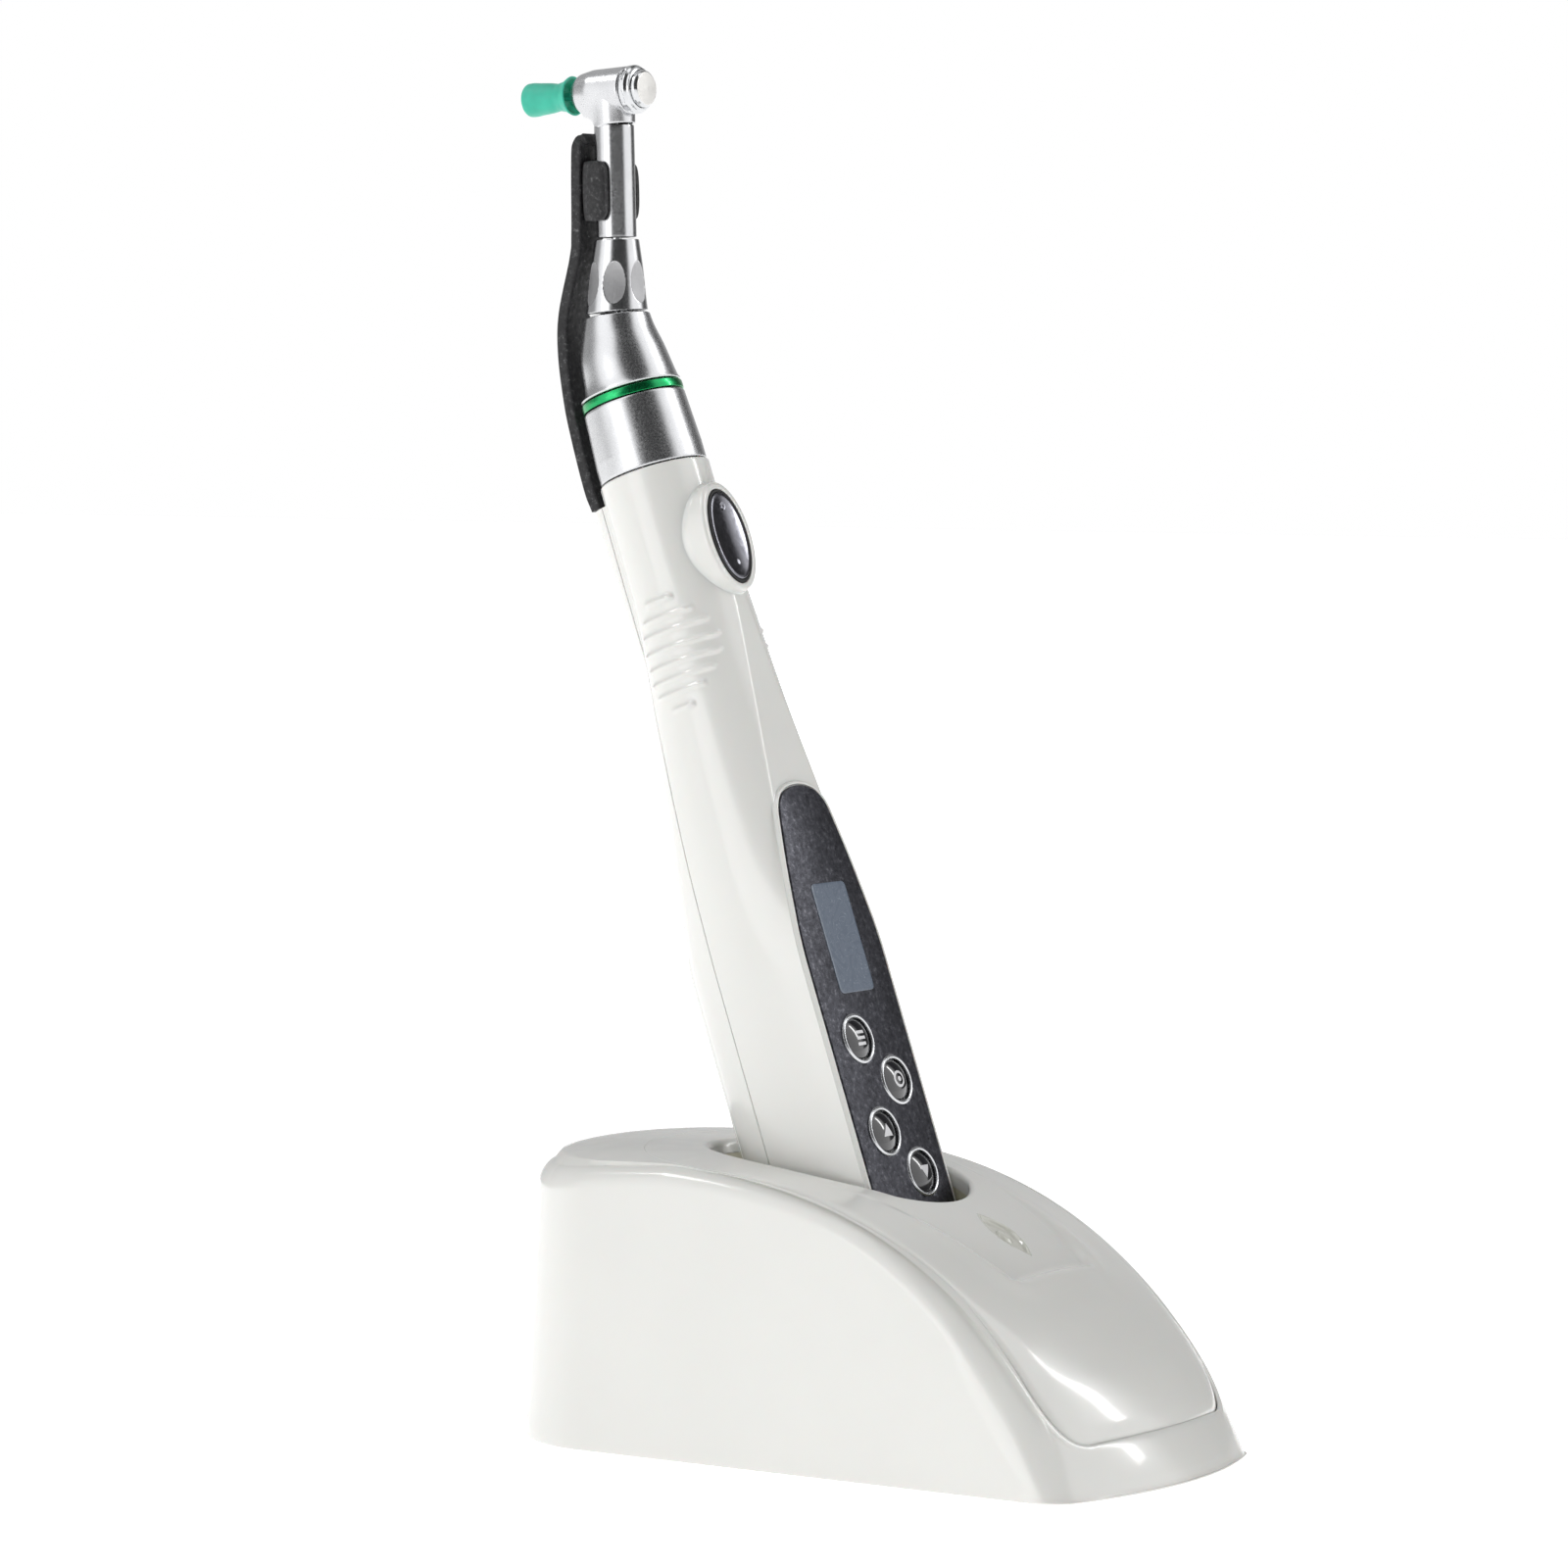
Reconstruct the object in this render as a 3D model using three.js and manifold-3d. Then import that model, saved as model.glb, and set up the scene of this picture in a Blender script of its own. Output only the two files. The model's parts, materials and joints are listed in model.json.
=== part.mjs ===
// Cordless endodontic motor standing in its charging dock.
// Millimetres, +Z up. The origin is under the middle of the object, on the desk it stands on.
// +X is the side of the dock's nose and of the keypad. The object is symmetric about y = 0.
import * as THREE from 'three';
import { ParametricGeometry } from 'three/addons/geometries/ParametricGeometry.js';
import { mergeVertices } from 'three/addons/utils/BufferGeometryUtils.js';
import Module from 'manifold-3d';

const wasm = await Module();
wasm.setup();

const GAP = 0.3; // between pieces that touch
const ROUND = 16; // sides of an ordinary round piece

// The dock
const DOCK = {
  noseX: 77.1, noseBow: 0.00606, halfWidth: 35.5, cornerX: 62, cornerY: 31,
  backX: -38, backLength: 28, bottom: 0.8, draft: Math.tan(THREE.MathUtils.degToRad(3)),
  crown: 57.6, crestX: -43, rim: 1, shoulderDrop: 1.3, backDrop: 3.75, shoulderHalf: 33,
  shoulderPower: 3.9, frontPower: 3.2, frontFall: 0.82, edgeRadius: 3, wall: 2.4,
};
const DECK = { backX: -12, backLength: 28, halfWidth: 29.7, noseX: 71.8, cornerX: 60, cornerY: 21 };
const TONGUE = { backX: 16, noseX: 49.3, backHalf: 21, noseHalf: 14.2, rise: 0.7 };
const LAMP = { x: 36.5, length: 13.5, width: 6.6 };
const BASE = { low: 1.9, high: 4.5, inset: 3.6 };
const FOOT = { radius: 5, height: 1.6 };
const FOOT_PLACES = [[-50, -9], [-50, 9], [58, -22], [58, 22]];
const BASE_SCREW = { head: 2.8, headHigh: 3.6, shank: 1.4, top: 11 };
const SCREW_PLACES = [[-52, -19], [-52, 19], [42, -28.4], [42, 28.4]];
const SOCKET = { wall: 1.8, floor: -0.8, clearance: 1.2, ovalFrom: 20, centre: -1.8, long: 26, wide: 18 };
const INLET = { z: 15, bore: 2.8, pin: 1, length: 13, half: 4.6 };

// The handpiece: its own axis leans back, and its own x faces the keypad.
const LEAN = THREE.MathUtils.degToRad(19.2);
const GRIP_FOOT = new THREE.Vector3(9.86, 0, 30.88);
const GRIP = { length: 165, face: 11.4, neckRadius: 10.9, wall: 1.8, splitX: -9.3 };
const PANEL = { low: 5, half: 13, back: 11.2, front: 12.1, top: 98 };
const SCREEN = { half: 5.8, low: 56.4, high: 78.2 };
const KEY = { radius: 3.95, ringIn: 4.25, ringOut: 4.9, back: 9.7, front: 13.1, ringFront: 12.7 };
const KEYS = { program: [-4.4, 47.4], select: [4.4, 38.4], up: [-4.4, 29], down: [4.4, 20.1] };
const SWITCH = { z: 148, bossLong: 11.2, bossWide: 7.5, bossFront: 13, long: 9.1, wide: 5.3, front: 13.3 };
const HUMP = { half: 4, top: 161.3 };
const MOTOR = { radius: 8, low: 104, high: 147, shaft: 1.5, noseRadius: 6, noseTop: 178 };
const CONTACT = { x: -4, y: 5.5, radius: 2.4 };
const BATTERY = { x: -7.4, radius: 9.2, low: 14, high: 80 };

// The contra-angle above it
const BARREL = { foot: 10.65, ringRadius: 10, ringLow: 179.8, ringHigh: 181.4 };
const NECK = { x: -53.35, z: 232.7, topX: -53.95, topZ: 255.4, radius: 3.9, bore: 2.6 };
const HEAD = { x: -54.1, z: 261, tilt: 3.5, back: -8.3, front: 4.1, radius: 4.6, bore: 3.75 };
const PLUG = { tip: -20.2, mouth: -8.8 };
const MIDDLE_X = 1.4; // halfway between the plug's tip and the dock's nose
const BRACKET = { half: 4, thick: 2.4, jawLow: 236, jawHigh: 247.5, jawOut: 6.4, jawIn: 4.3 };

// ---- shapes ------------------------------------------------------------------------------

// Joins a geometry's shared corners and drops the triangles that have no area.
function weld(geometry) {
  const bare = new THREE.BufferGeometry();
  bare.setAttribute('position', geometry.getAttribute('position'));
  bare.setIndex(geometry.getIndex());
  const merged = mergeVertices(bare, 1e-4);
  const old = merged.getIndex().array;
  const kept = [];
  for (let i = 0; i < old.length; i += 3) {
    const [a, b, c] = old.slice(i, i + 3);
    if (a !== b && b !== c && c !== a) kept.push(a, b, c);
  }
  merged.setIndex(kept);
  return merged;
}

function toSolid(geometry) {
  const mesh = weld(geometry);
  return new wasm.Manifold(new wasm.Mesh({
    numProp: 3,
    vertProperties: new Float32Array(mesh.getAttribute('position').array),
    triVerts: new Uint32Array(mesh.getIndex().array),
  }));
}

function toGeometry(solid) {
  const mesh = solid.getMesh();
  const geometry = new THREE.BufferGeometry();
  geometry.setAttribute('position', new THREE.BufferAttribute(mesh.vertProperties, 3));
  geometry.setIndex(new THREE.BufferAttribute(mesh.triVerts, 1));
  return geometry;
}

function join(base, ...others) {
  return toGeometry(others.reduce((sum, other) => sum.add(toSolid(other)), toSolid(base)));
}

function cut(base, ...tools) {
  return toGeometry(tools.reduce((rest, tool) => rest.subtract(toSolid(tool)), toSolid(base)));
}

function meet(base, other) {
  return toGeometry(toSolid(base).intersect(toSolid(other)));
}

// A skin through rings of points, each ring with the same number of points.
// A tube's last ring meets its first again; otherwise each end closes on its own centre.
function skin(rings, isTube = false) {
  const rows = isTube ? [...rings, rings[0]] : [
    rings[0].map(() => middle(rings[0])), ...rings, rings.at(-1).map(() => middle(rings.at(-1))),
  ];
  const count = rings[0].length;
  const place = (u, v, target) => {
    target.copy(rows[Math.round(v * (rows.length - 1))][Math.round(u * count) % count]);
  };
  return new ParametricGeometry(place, count, rows.length - 1);
}

function middle(ring) {
  const sum = ring.reduce((total, point) => total.add(point), new THREE.Vector3());
  return sum.divideScalar(ring.length);
}

function block(x0, x1, y0, y1, z0, z1) {
  const box = new THREE.BoxGeometry(x1 - x0, y1 - y0, z1 - z0);
  return box.translate((x0 + x1) / 2, (y0 + y1) / 2, (z0 + z1) / 2);
}

// A body turned about the z axis from [radius, z] points.
function turned(profile, sides = ROUND) {
  const points = profile.map(([radius, z]) => new THREE.Vector2(radius, z));
  return new THREE.LatheGeometry(points, sides).rotateX(Math.PI / 2);
}

function rod(radius, z0, z1, sides = ROUND) {
  return turned([[0, z0], [radius, z0], [radius, z1], [0, z1]], sides);
}

function pipe(outer, inner, z0, z1, sides = ROUND) {
  return turned([[inner, z0], [outer, z0], [outer, z1], [inner, z1], [inner, z0]], sides);
}

function outline(points) {
  return new THREE.Shape(points.map(([x, y]) => new THREE.Vector2(x, y)));
}

function oval(x, y, halfX, halfY) {
  return new THREE.Shape().absellipse(x, y, halfX, halfY, 0, 2 * Math.PI);
}

function extruded(shape, low, high, curveSegments = 10) {
  const options = { depth: high - low, bevelEnabled: false, curveSegments };
  return new THREE.ExtrudeGeometry(shape, options).translate(0, 0, low);
}

// A shape drawn on (y, z) and pushed along x.
function alongX(shape, x0, x1, curveSegments = 10) {
  const turn = new THREE.Matrix4().makeBasis(
    new THREE.Vector3(0, 1, 0), new THREE.Vector3(0, 0, 1), new THREE.Vector3(1, 0, 0),
  );
  return extruded(shape, x0, x1, curveSegments).applyMatrix4(turn);
}

// A shape drawn on (x, z) and pushed along y.
function alongY(shape, half, curveSegments = 6) {
  return extruded(shape, -half, half, curveSegments).rotateX(Math.PI / 2);
}

// A body made along z, laid along +X with its z = 0 at x = 0.
function layAlongX(geometry) {
  return geometry.rotateY(Math.PI / 2);
}

// Straight lines between [at, value] pairs.
function between(pairs, at) {
  if (at <= pairs[0][0]) return pairs[0][1];
  for (let i = 1; i < pairs.length; i += 1) {
    const [a, from] = pairs[i - 1];
    const [b, to] = pairs[i];
    if (at <= b) return from + ((to - from) * (at - a)) / (b - a);
  }
  return pairs.at(-1)[1];
}

// ---- the assembly ------------------------------------------------------------------------

const motorAndDock = new THREE.Group();
const dock = new THREE.Group();
const handpiece = new THREE.Group();
const contraAngle = new THREE.Group();
motorAndDock.add(dock, handpiece, contraAngle);
motorAndDock.position.x = -MIDDLE_X;
handpiece.position.copy(GRIP_FOOT);
handpiece.rotation.y = -LEAN;

const FINISHES = {
  whitePlastic: [0xe9eae6, 0.22, 0],
  innerPlastic: [0xcfcdb8, 0.5, 0],
  blackPlastic: [0x26272a, 0.5, 0],
  panelPlastic: [0x2a2c33, 0.35, 0.2],
  silverTrim: [0xb9bcc0, 0.28, 0.9],
  blackGloss: [0x101114, 0.12, 0.3],
  screenGlass: [0x5c6778, 0.1, 0],
  clearPlastic: [0xd9dcda, 0.08, 0],
  satinSteel: [0xa9abae, 0.34, 0.95],
  polishedSteel: [0xc9cacc, 0.12, 1],
  frostedSteel: [0xc4c2bd, 0.5, 0.9],
  greenRing: [0x16a34a, 0.3, 0.5],
  tealSilicone: [0x2bb894, 0.5, 0],
  charcoal: [0x2c2d2f, 0.62, 0.1],
  rubber: [0x2b2b2b, 0.85, 0],
  circuitBoard: [0x1d5c3a, 0.5, 0],
  gold: [0xd2a94e, 0.25, 1],
  cellWrap: [0x4a6fa8, 0.4, 0],
};

function add(group, name, geometry, finish) {
  const [color, roughness, metalness] = FINISHES[finish];
  const material = new THREE.MeshStandardMaterial({ color, roughness, metalness });
  const mesh = new THREE.Mesh(geometry, material);
  mesh.name = name;
  group.add(mesh);
  return mesh;
}

// ---- the dock ----------------------------------------------------------------------------

// Half of the dock's plan at the desk, from the nose's middle round to the back's middle.
function planHalf() {
  const nose = [0, 9, 18, 26].map((y) => new THREE.Vector2(DOCK.noseX - DOCK.noseBow * y * y, y));
  const cornerStart = new THREE.Vector2(DOCK.noseX - DOCK.noseBow * DOCK.cornerY ** 2, DOCK.cornerY);
  const corner = new THREE.QuadraticBezierCurve(
    cornerStart,
    new THREE.Vector2(DOCK.noseX - DOCK.noseBow * DOCK.halfWidth ** 2, DOCK.halfWidth),
    new THREE.Vector2(DOCK.cornerX, DOCK.halfWidth),
  );
  const side = [51, 39, 26, 12, -4, -22].map((x) => new THREE.Vector2(x, DOCK.halfWidth));
  const back = [];
  for (let i = 0; i <= 6; i += 1) {
    const angle = (Math.PI / 2) * (1 + i / 6);
    const x = DOCK.backX + DOCK.backLength * Math.cos(angle);
    back.push(new THREE.Vector2(x, DOCK.halfWidth * Math.sin(angle)));
  }
  back[6].y = 0;
  return [...nose, ...corner.getPoints(3), ...side, ...back];
}

function planRing() {
  const half = planHalf();
  const mirrored = half.slice(1, -1).reverse().map((point) => new THREE.Vector2(point.x, -point.y));
  return [...half, ...mirrored];
}

function planInset(distance) {
  const ring = planRing();
  return ring.map((point, i) => {
    const after = ring[(i + 1) % ring.length];
    const before = ring[(i + ring.length - 1) % ring.length];
    const along = after.clone().sub(before).normalize();
    return new THREE.Vector2(point.x - along.y * distance, point.y + along.x * distance);
  });
}

// Height of the dock's top over a point of its plan.
function dockTop(x, y) {
  const reach = DOCK.noseX - DOCK.noseBow * y * y - DOCK.crestX;
  const forward = THREE.MathUtils.clamp((x - DOCK.crestX) / reach, 0, 1);
  const behind = Math.min(0, x - DOCK.backX) / (DOCK.backLength - 2);
  const outward = Math.hypot(y / DOCK.shoulderHalf, behind);
  const backShare = THREE.MathUtils.clamp(-(x + 20) / 30, 0, 1);
  const drop = THREE.MathUtils.lerp(DOCK.shoulderDrop, DOCK.backDrop, backShare);
  const crown = DOCK.crown - drop * outward ** DOCK.shoulderPower;
  return DOCK.rim + (crown - DOCK.rim) * (1 - forward ** DOCK.frontPower) ** DOCK.frontFall;
}

// The dock's outer form, or the same form shrunk all over by an inset.
function dockForm(inset, bottom = DOCK.bottom) {
  const radius = Math.max(DOCK.edgeRadius - inset, 0.5);
  const lay = (distanceIn, drop) => planInset(inset + distanceIn).map((point, i) => {
    const height = dockTop(point.x, point.y) - inset - drop;
    const tilt = planInset(inset + distanceIn + Math.max(height, 0) * DOCK.draft)[i];
    return new THREE.Vector3(tilt.x, tilt.y, Math.max(height, bottom + 0.4));
  });
  const rings = [planInset(inset).map((point) => new THREE.Vector3(point.x, point.y, bottom))];
  for (const angle of [0, 40, 90].map(THREE.MathUtils.degToRad)) {
    rings.push(lay(radius * (1 - Math.cos(angle)), radius * (1 - Math.sin(angle))));
  }
  const edge = rings.at(-1);
  for (const share of [0.45, 1]) {
    rings.push(edge.map((point) => {
      const spineX = THREE.MathUtils.clamp(point.x, -36, 50);
      const x = THREE.MathUtils.lerp(point.x, spineX, share);
      const y = point.y * (1 - share);
      return new THREE.Vector3(x, y, dockTop(x, y) - inset);
    }));
  }
  return skin([...rings]);
}

// The deck's plan, grown by a margin.
function deckOutline(margin) {
  const shape = new THREE.Shape();
  const half = DECK.halfWidth + margin;
  const nose = DECK.noseX + margin;
  shape.moveTo(DECK.backX, -half);
  shape.lineTo(DECK.cornerX, -half);
  shape.quadraticCurveTo(nose - 4, -half, nose - 2.4, -DECK.cornerY);
  shape.quadraticCurveTo(nose + 2.4, 0, nose - 2.4, DECK.cornerY);
  shape.quadraticCurveTo(nose - 4, half, DECK.cornerX, half);
  shape.lineTo(DECK.backX, half);
  shape.absellipse(DECK.backX, 0, DECK.backLength + margin, half, Math.PI / 2, (3 * Math.PI) / 2);
  return shape;
}

function tongueOutline(margin) {
  const back = TONGUE.backHalf + margin;
  const nose = TONGUE.noseHalf + margin;
  return outline([
    [TONGUE.backX - margin, -back], [TONGUE.noseX + margin, -nose],
    [TONGUE.noseX + margin, nose], [TONGUE.backX - margin, back],
  ]);
}

function lampOutline(margin) {
  const shape = new THREE.Shape();
  const half = LAMP.length / 2 + margin;
  const side = LAMP.width + 2 * margin;
  shape.moveTo(LAMP.x - half, 0);
  shape.quadraticCurveTo(LAMP.x, -side, LAMP.x + half, 0);
  shape.quadraticCurveTo(LAMP.x, side, LAMP.x - half, 0);
  return shape;
}

// Rings of the pocket that the handpiece stands in, in the handpiece's own frame.
function pocketRing(z, grow) {
  const blend = THREE.MathUtils.clamp((z - SOCKET.floor) / (SOCKET.ovalFrom - SOCKET.floor), 0, 1);
  return gripRing(0, -SOCKET.clearance - grow).map((point) => {
    const angle = Math.atan2(point.y, point.x - SOCKET.centre);
    const ovalX = SOCKET.centre + (SOCKET.long + grow) * Math.cos(angle);
    const ovalY = (SOCKET.wide + grow) * Math.sin(angle);
    const x = THREE.MathUtils.lerp(point.x, ovalX, blend);
    const y = THREE.MathUtils.lerp(point.y, ovalY, blend);
    return new THREE.Vector3(x, y, z);
  });
}

function pocketForm(grow, floor) {
  const heights = [floor, 8, SOCKET.ovalFrom, 50];
  return placed(skin(heights.map((z) => pocketRing(z, grow))));
}

// Moves a geometry from the handpiece's own frame to the object's frame.
function placed(geometry) {
  return geometry.rotateY(-LEAN).translate(GRIP_FOOT.x, GRIP_FOOT.y, GRIP_FOOT.z);
}

function buildDock() {
  const outer = dockForm(0);
  const hollow = dockForm(DOCK.wall, DOCK.bottom - 2);
  const casing = cut(outer, hollow);
  const pocket = pocketForm(0, SOCKET.floor);

  const posts = SCREW_PLACES.map(([x, y]) => {
    const top = Math.min(dockTop(x, y) - 1, x > 0 ? 24 : 60);
    return rod(3.6, BASE.high + GAP, top, 8).translate(x, y, 0);
  });
  const trimmedPosts = posts.map((post) => meet(post, dockForm(1)));
  const postBores = SCREW_PLACES.map(([x, y]) => (
    rod(BASE_SCREW.shank + GAP, BASE.high, BASE_SCREW.top + 1, 8).translate(x, y, 0)
  ));
  const inletHole = layAlongX(rod(INLET.bore + 1.4, -70, -50)).translate(0, 0, INLET.z);
  const shell = cut(
    join(cut(casing, extruded(deckOutline(GAP / 2), 0, 80)), ...trimmedPosts),
    ...postBores,
    inletHole,
  );
  add(dock, 'dock_shell', shell, 'whitePlastic');

  const tongue = meet(
    cut(dockForm(-TONGUE.rise), dockForm(1)),
    extruded(tongueOutline(0), 20, 80),
  );
  const deck = cut(
    join(meet(casing, extruded(deckOutline(-GAP / 2), 8, 80)), tongue),
    pocket,
    extruded(lampOutline(GAP), 20, 80),
  );
  add(dock, 'dock_deck', deck, 'whitePlastic');

  const cup = meet(
    cut(pocketForm(SOCKET.wall, SOCKET.floor - 2), pocket),
    dockForm(DOCK.wall + 0.4),
  );
  const pinHoles = [-1, 1].map((side) => (
    placed(rod(1.1, -6, 2, 12).translate(CONTACT.x, side * CONTACT.y, 0))
  ));
  add(dock, 'socket_cup', cut(cup, ...pinHoles), 'innerPlastic');

  const plateShape = new THREE.Shape(planInset(BASE.inset));
  const screwHoles = SCREW_PLACES.flatMap(([x, y]) => [
    rod(BASE_SCREW.head + GAP, 0, BASE_SCREW.headHigh + GAP, 12).translate(x, y, 0),
    rod(BASE_SCREW.shank + GAP, 0, 10, 8).translate(x, y, 0),
  ]);
  const plate = cut(extruded(plateShape, BASE.low, BASE.high), ...screwHoles);
  add(dock, 'dock_base_plate', plate, 'whitePlastic');

  FOOT_PLACES.forEach(([x, y], i) => {
    const foot = turned([
      [0, 0], [FOOT.radius - 0.5, 0], [FOOT.radius, 0.5], [FOOT.radius, FOOT.height], [0, FOOT.height],
    ]);
    add(dock, `rubber_foot_${i + 1}`, foot.translate(x, y, 0), 'rubber');
  });
  SCREW_PLACES.forEach(([x, y], i) => {
    const { head, headHigh, shank, top } = BASE_SCREW;
    const screw = turned([[0, 2.1], [head, 2.1], [head, headHigh], [shank, headHigh], [shank, top], [0, top]], 8);
    add(dock, `base_screw_${i + 1}`, screw.translate(x, y, 0), 'satinSteel');
  });

  const lens = meet(
    cut(dockForm(-TONGUE.rise), dockForm(1.6)),
    extruded(lampOutline(0), 20, 80),
  );
  add(dock, 'power_lamp_lens', lens, 'clearPlastic');
  const lampZ = dockTop(LAMP.x, 0) - 3.6;
  const led = turned([[0, -4], [1.5, -4], [1.5, 0], [1.06, 0.7], [0, 1]], 12);
  add(dock, 'power_lamp_led', led.translate(LAMP.x, 0, lampZ), 'clearPlastic');

  const board = extruded(oval(2, 0, 27, 20), 8, 9.6);
  add(dock, 'charging_board', board, 'circuitBoard');
  const jackBody = block(0, INLET.length, -INLET.half, INLET.half, -INLET.half, INLET.half);
  const jackFront = layAlongX(rod(INLET.bore + 1, -3, 1));
  const jackBore = layAlongX(pipe(INLET.bore, INLET.pin, -4, 9));
  const jack = cut(join(jackBody, jackFront), jackBore);
  const jackX = DOCK.backX - DOCK.backLength + 5;
  add(dock, 'power_inlet', jack.translate(jackX, 0, INLET.z), 'blackPlastic');

  const pinBlock = placed(cut(
    block(-8, 0, -9, 9, -9, -3.1),
    ...[-1, 1].map((side) => rod(1.15, -8, 0, 12).translate(CONTACT.x, side * CONTACT.y, 0)),
  ));
  add(dock, 'contact_pin_block', pinBlock, 'blackPlastic');
  for (const [side, name] of [[-1, 'left'], [1, 'right']]) {
    const pin = turned([[0, -6.6], [0.85, -6.6], [0.85, -0.6], [0.5, -0.15], [0, -0.15]], 12);
    add(dock, `charge_pin_${name}`, placed(pin.translate(CONTACT.x, side * CONTACT.y, 0)), 'gold');
  }
}

// ---- the handpiece -----------------------------------------------------------------------

// Half-width of the flat front, half-width of the body and depth of its back, along the axis.
const FLAT_HALF = [[66, 13.6], [98, 8.1], [118, 4.6], [136, 1.5], [144, 1]];
const SIDE_HALF = [[70, 14.5], [84, 14.3], [91, 14], [108, 13], [115, 12.5], [127, 12], [140, 10.9]];
const BACK_DEPTH = [
  [70, 21], [84.5, 18.5], [90.7, 17.4], [108, 14.4], [115.5, 13.45], [127, 11.8], [140, 10.9],
];
const FRONT_DEPTH = [[136, GRIP.face], [144, GRIP.neckRadius]];
const STATIONS = [66, 71, 78, 84.5, 91, 98, 108, 117, 127, 136, 144];

// One cross-section of the handpiece, shrunk by an inset: a flat front and a rounded back.
function gripRing(z, inset) {
  const face = between(FRONT_DEPTH, z) - inset;
  const side = between(SIDE_HALF, z) - inset;
  const back = between(BACK_DEPTH, z) - inset;
  const flat = Math.min(between(FLAT_HALF, z), side - 0.5);
  const cornerAngle = Math.asin(flat / side);
  const frontDepth = face / Math.cos(cornerAngle);
  const half = [];
  for (let i = 0; i <= 4; i += 1) {
    const angle = THREE.MathUtils.lerp(cornerAngle, Math.PI / 2, i / 4);
    half.push([frontDepth * Math.cos(angle), side * Math.sin(angle)]);
  }
  for (let i = 1; i <= 6; i += 1) {
    const angle = (Math.PI / 2) * (i / 6);
    half.push([-back * Math.sin(angle), side * Math.cos(angle)]);
  }
  half[4][0] = 0;
  half.at(-1)[1] = 0;
  const mirrored = half.slice(0, -1).reverse().map(([x, y]) => [x, -y]);
  return [...half, ...mirrored].map(([x, y]) => new THREE.Vector3(x, y, z));
}

function gripForm(inset, low, high) {
  const heights = [low, ...STATIONS.filter((z) => z > low), high];
  return skin(heights.map((z) => gripRing(z, inset)));
}

function switchOval(grow) {
  return oval(0, SWITCH.z, SWITCH.wide + grow, SWITCH.long + grow);
}

// The keypad panel's outline: wide beside the keys, narrowing to a round top above the screen.
function panelOutline(margin) {
  const half = [[PANEL.half, PANEL.low], [PANEL.half, 65], [12.6, 70], [11.2, 79], [10.3, 84], [9.3, 88.5]];
  const top = [[8, 94], [6, 96.5], [3, 97.7], [0, PANEL.top]];
  const side = [...half, ...top].map(([y, z]) => [y + margin * Math.sign(y), z > 90 ? z + margin : z]);
  side[0][1] -= margin;
  const mirrored = side.slice(0, -1).reverse().map(([y, z]) => [-y, z]);
  return outline([...side, ...mirrored]);
}

function screenOutline(margin) {
  const { half, low, high } = SCREEN;
  return outline([
    [-half - margin, low - margin], [half + margin, low - margin],
    [half + margin, high + margin], [-half - margin, high + margin],
  ]);
}

function keyRod(radius, x0, x1, [y, z]) {
  return layAlongX(rod(radius, x0, x1, 16)).translate(0, y, z);
}

function shellScrewPlaces() {
  return [7, 95].map((z) => ({ z, back: between(BACK_DEPTH, z) }));
}

function buildShells() {
  const hump = alongY(outline([
    [-8, 128], [-11.4, 129], [-12.5, 132], [-13.6, 146.8], [-14.3, HUMP.top], [-8, HUMP.top],
  ]), HUMP.half);
  const hull = join(gripForm(0, 0, GRIP.length), hump);
  const hollow = join(
    gripForm(GRIP.wall, 2.2, GRIP.length - 4),
    rod(GRIP.neckRadius - GRIP.wall, GRIP.length - 8, GRIP.length + 4),
  );
  const frontHalf = block(GRIP.splitX + GAP / 2, 30, -30, 30, -10, 200);
  const backHalf = block(-40, GRIP.splitX - GAP / 2, -30, 30, -10, 200);
  const boss = alongX(switchOval(SWITCH.bossWide - SWITCH.wide), 2, SWITCH.bossFront);
  const front = meet(cut(join(hull, boss), hollow), frontHalf);

  const posts = shellScrewPlaces().map(({ z, back }) => (
    layAlongX(rod(3, -back + GRIP.wall + 2, GRIP.face - 1, 8)).translate(0, 0, z)
  ));
  const bores = shellScrewPlaces().map(({ z, back }) => (
    layAlongX(rod(1.4, -back - 1, -back + 12, 8)).translate(0, 0, z)
  ));
  const keyHoles = Object.values(KEYS).map((place) => keyRod(KEY.ringOut + GAP, 6, 12, place));
  const contactHoles = [-1, 1].map((side) => (
    rod(CONTACT.radius + GAP, -1, 4, 16).translate(CONTACT.x, side * CONTACT.y, 0)
  ));
  const shell = cut(
    join(front, ...posts),
    alongX(panelOutline(GAP), PANEL.back - GAP, 20),
    alongX(screenOutline(1.3), 8, 20),
    alongX(switchOval(0.9), 0, 20),
    ...keyHoles,
    ...bores,
    ...contactHoles,
  );
  add(handpiece, 'front_shell', shell, 'whitePlastic');

  const coverBox = (margin) => block(-40, -12, -8 - margin, 8 + margin, 14 - margin, 74 + margin);
  const counterbores = shellScrewPlaces().map(({ z, back }) => (
    layAlongX(rod(2.4, -back - 3, -back + 1, 12)).translate(0, 0, z)
  ));
  const back = cut(
    meet(cut(hull, hollow), backHalf),
    coverBox(GAP / 2),
    ...counterbores,
    ...bores,
  );
  add(handpiece, 'rear_shell', back, 'whitePlastic');
  const cover = meet(cut(gripForm(0, 0, GRIP.length), gripForm(GRIP.wall, 2.2, 160)), coverBox(-GAP / 2));
  add(handpiece, 'battery_cover', cover, 'whitePlastic');

  shellScrewPlaces().forEach(({ z, back: depth }, i) => {
    const screw = turned([[0, 0.1], [2, 0.1], [2, 0.7], [1.05, 0.7], [1.05, 10], [0, 10]], 8);
    const laid = layAlongX(screw).translate(-depth, 0, z);
    add(handpiece, `shell_screw_${['lower', 'upper'][i]}`, laid, 'satinSteel');
  });
}

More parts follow.
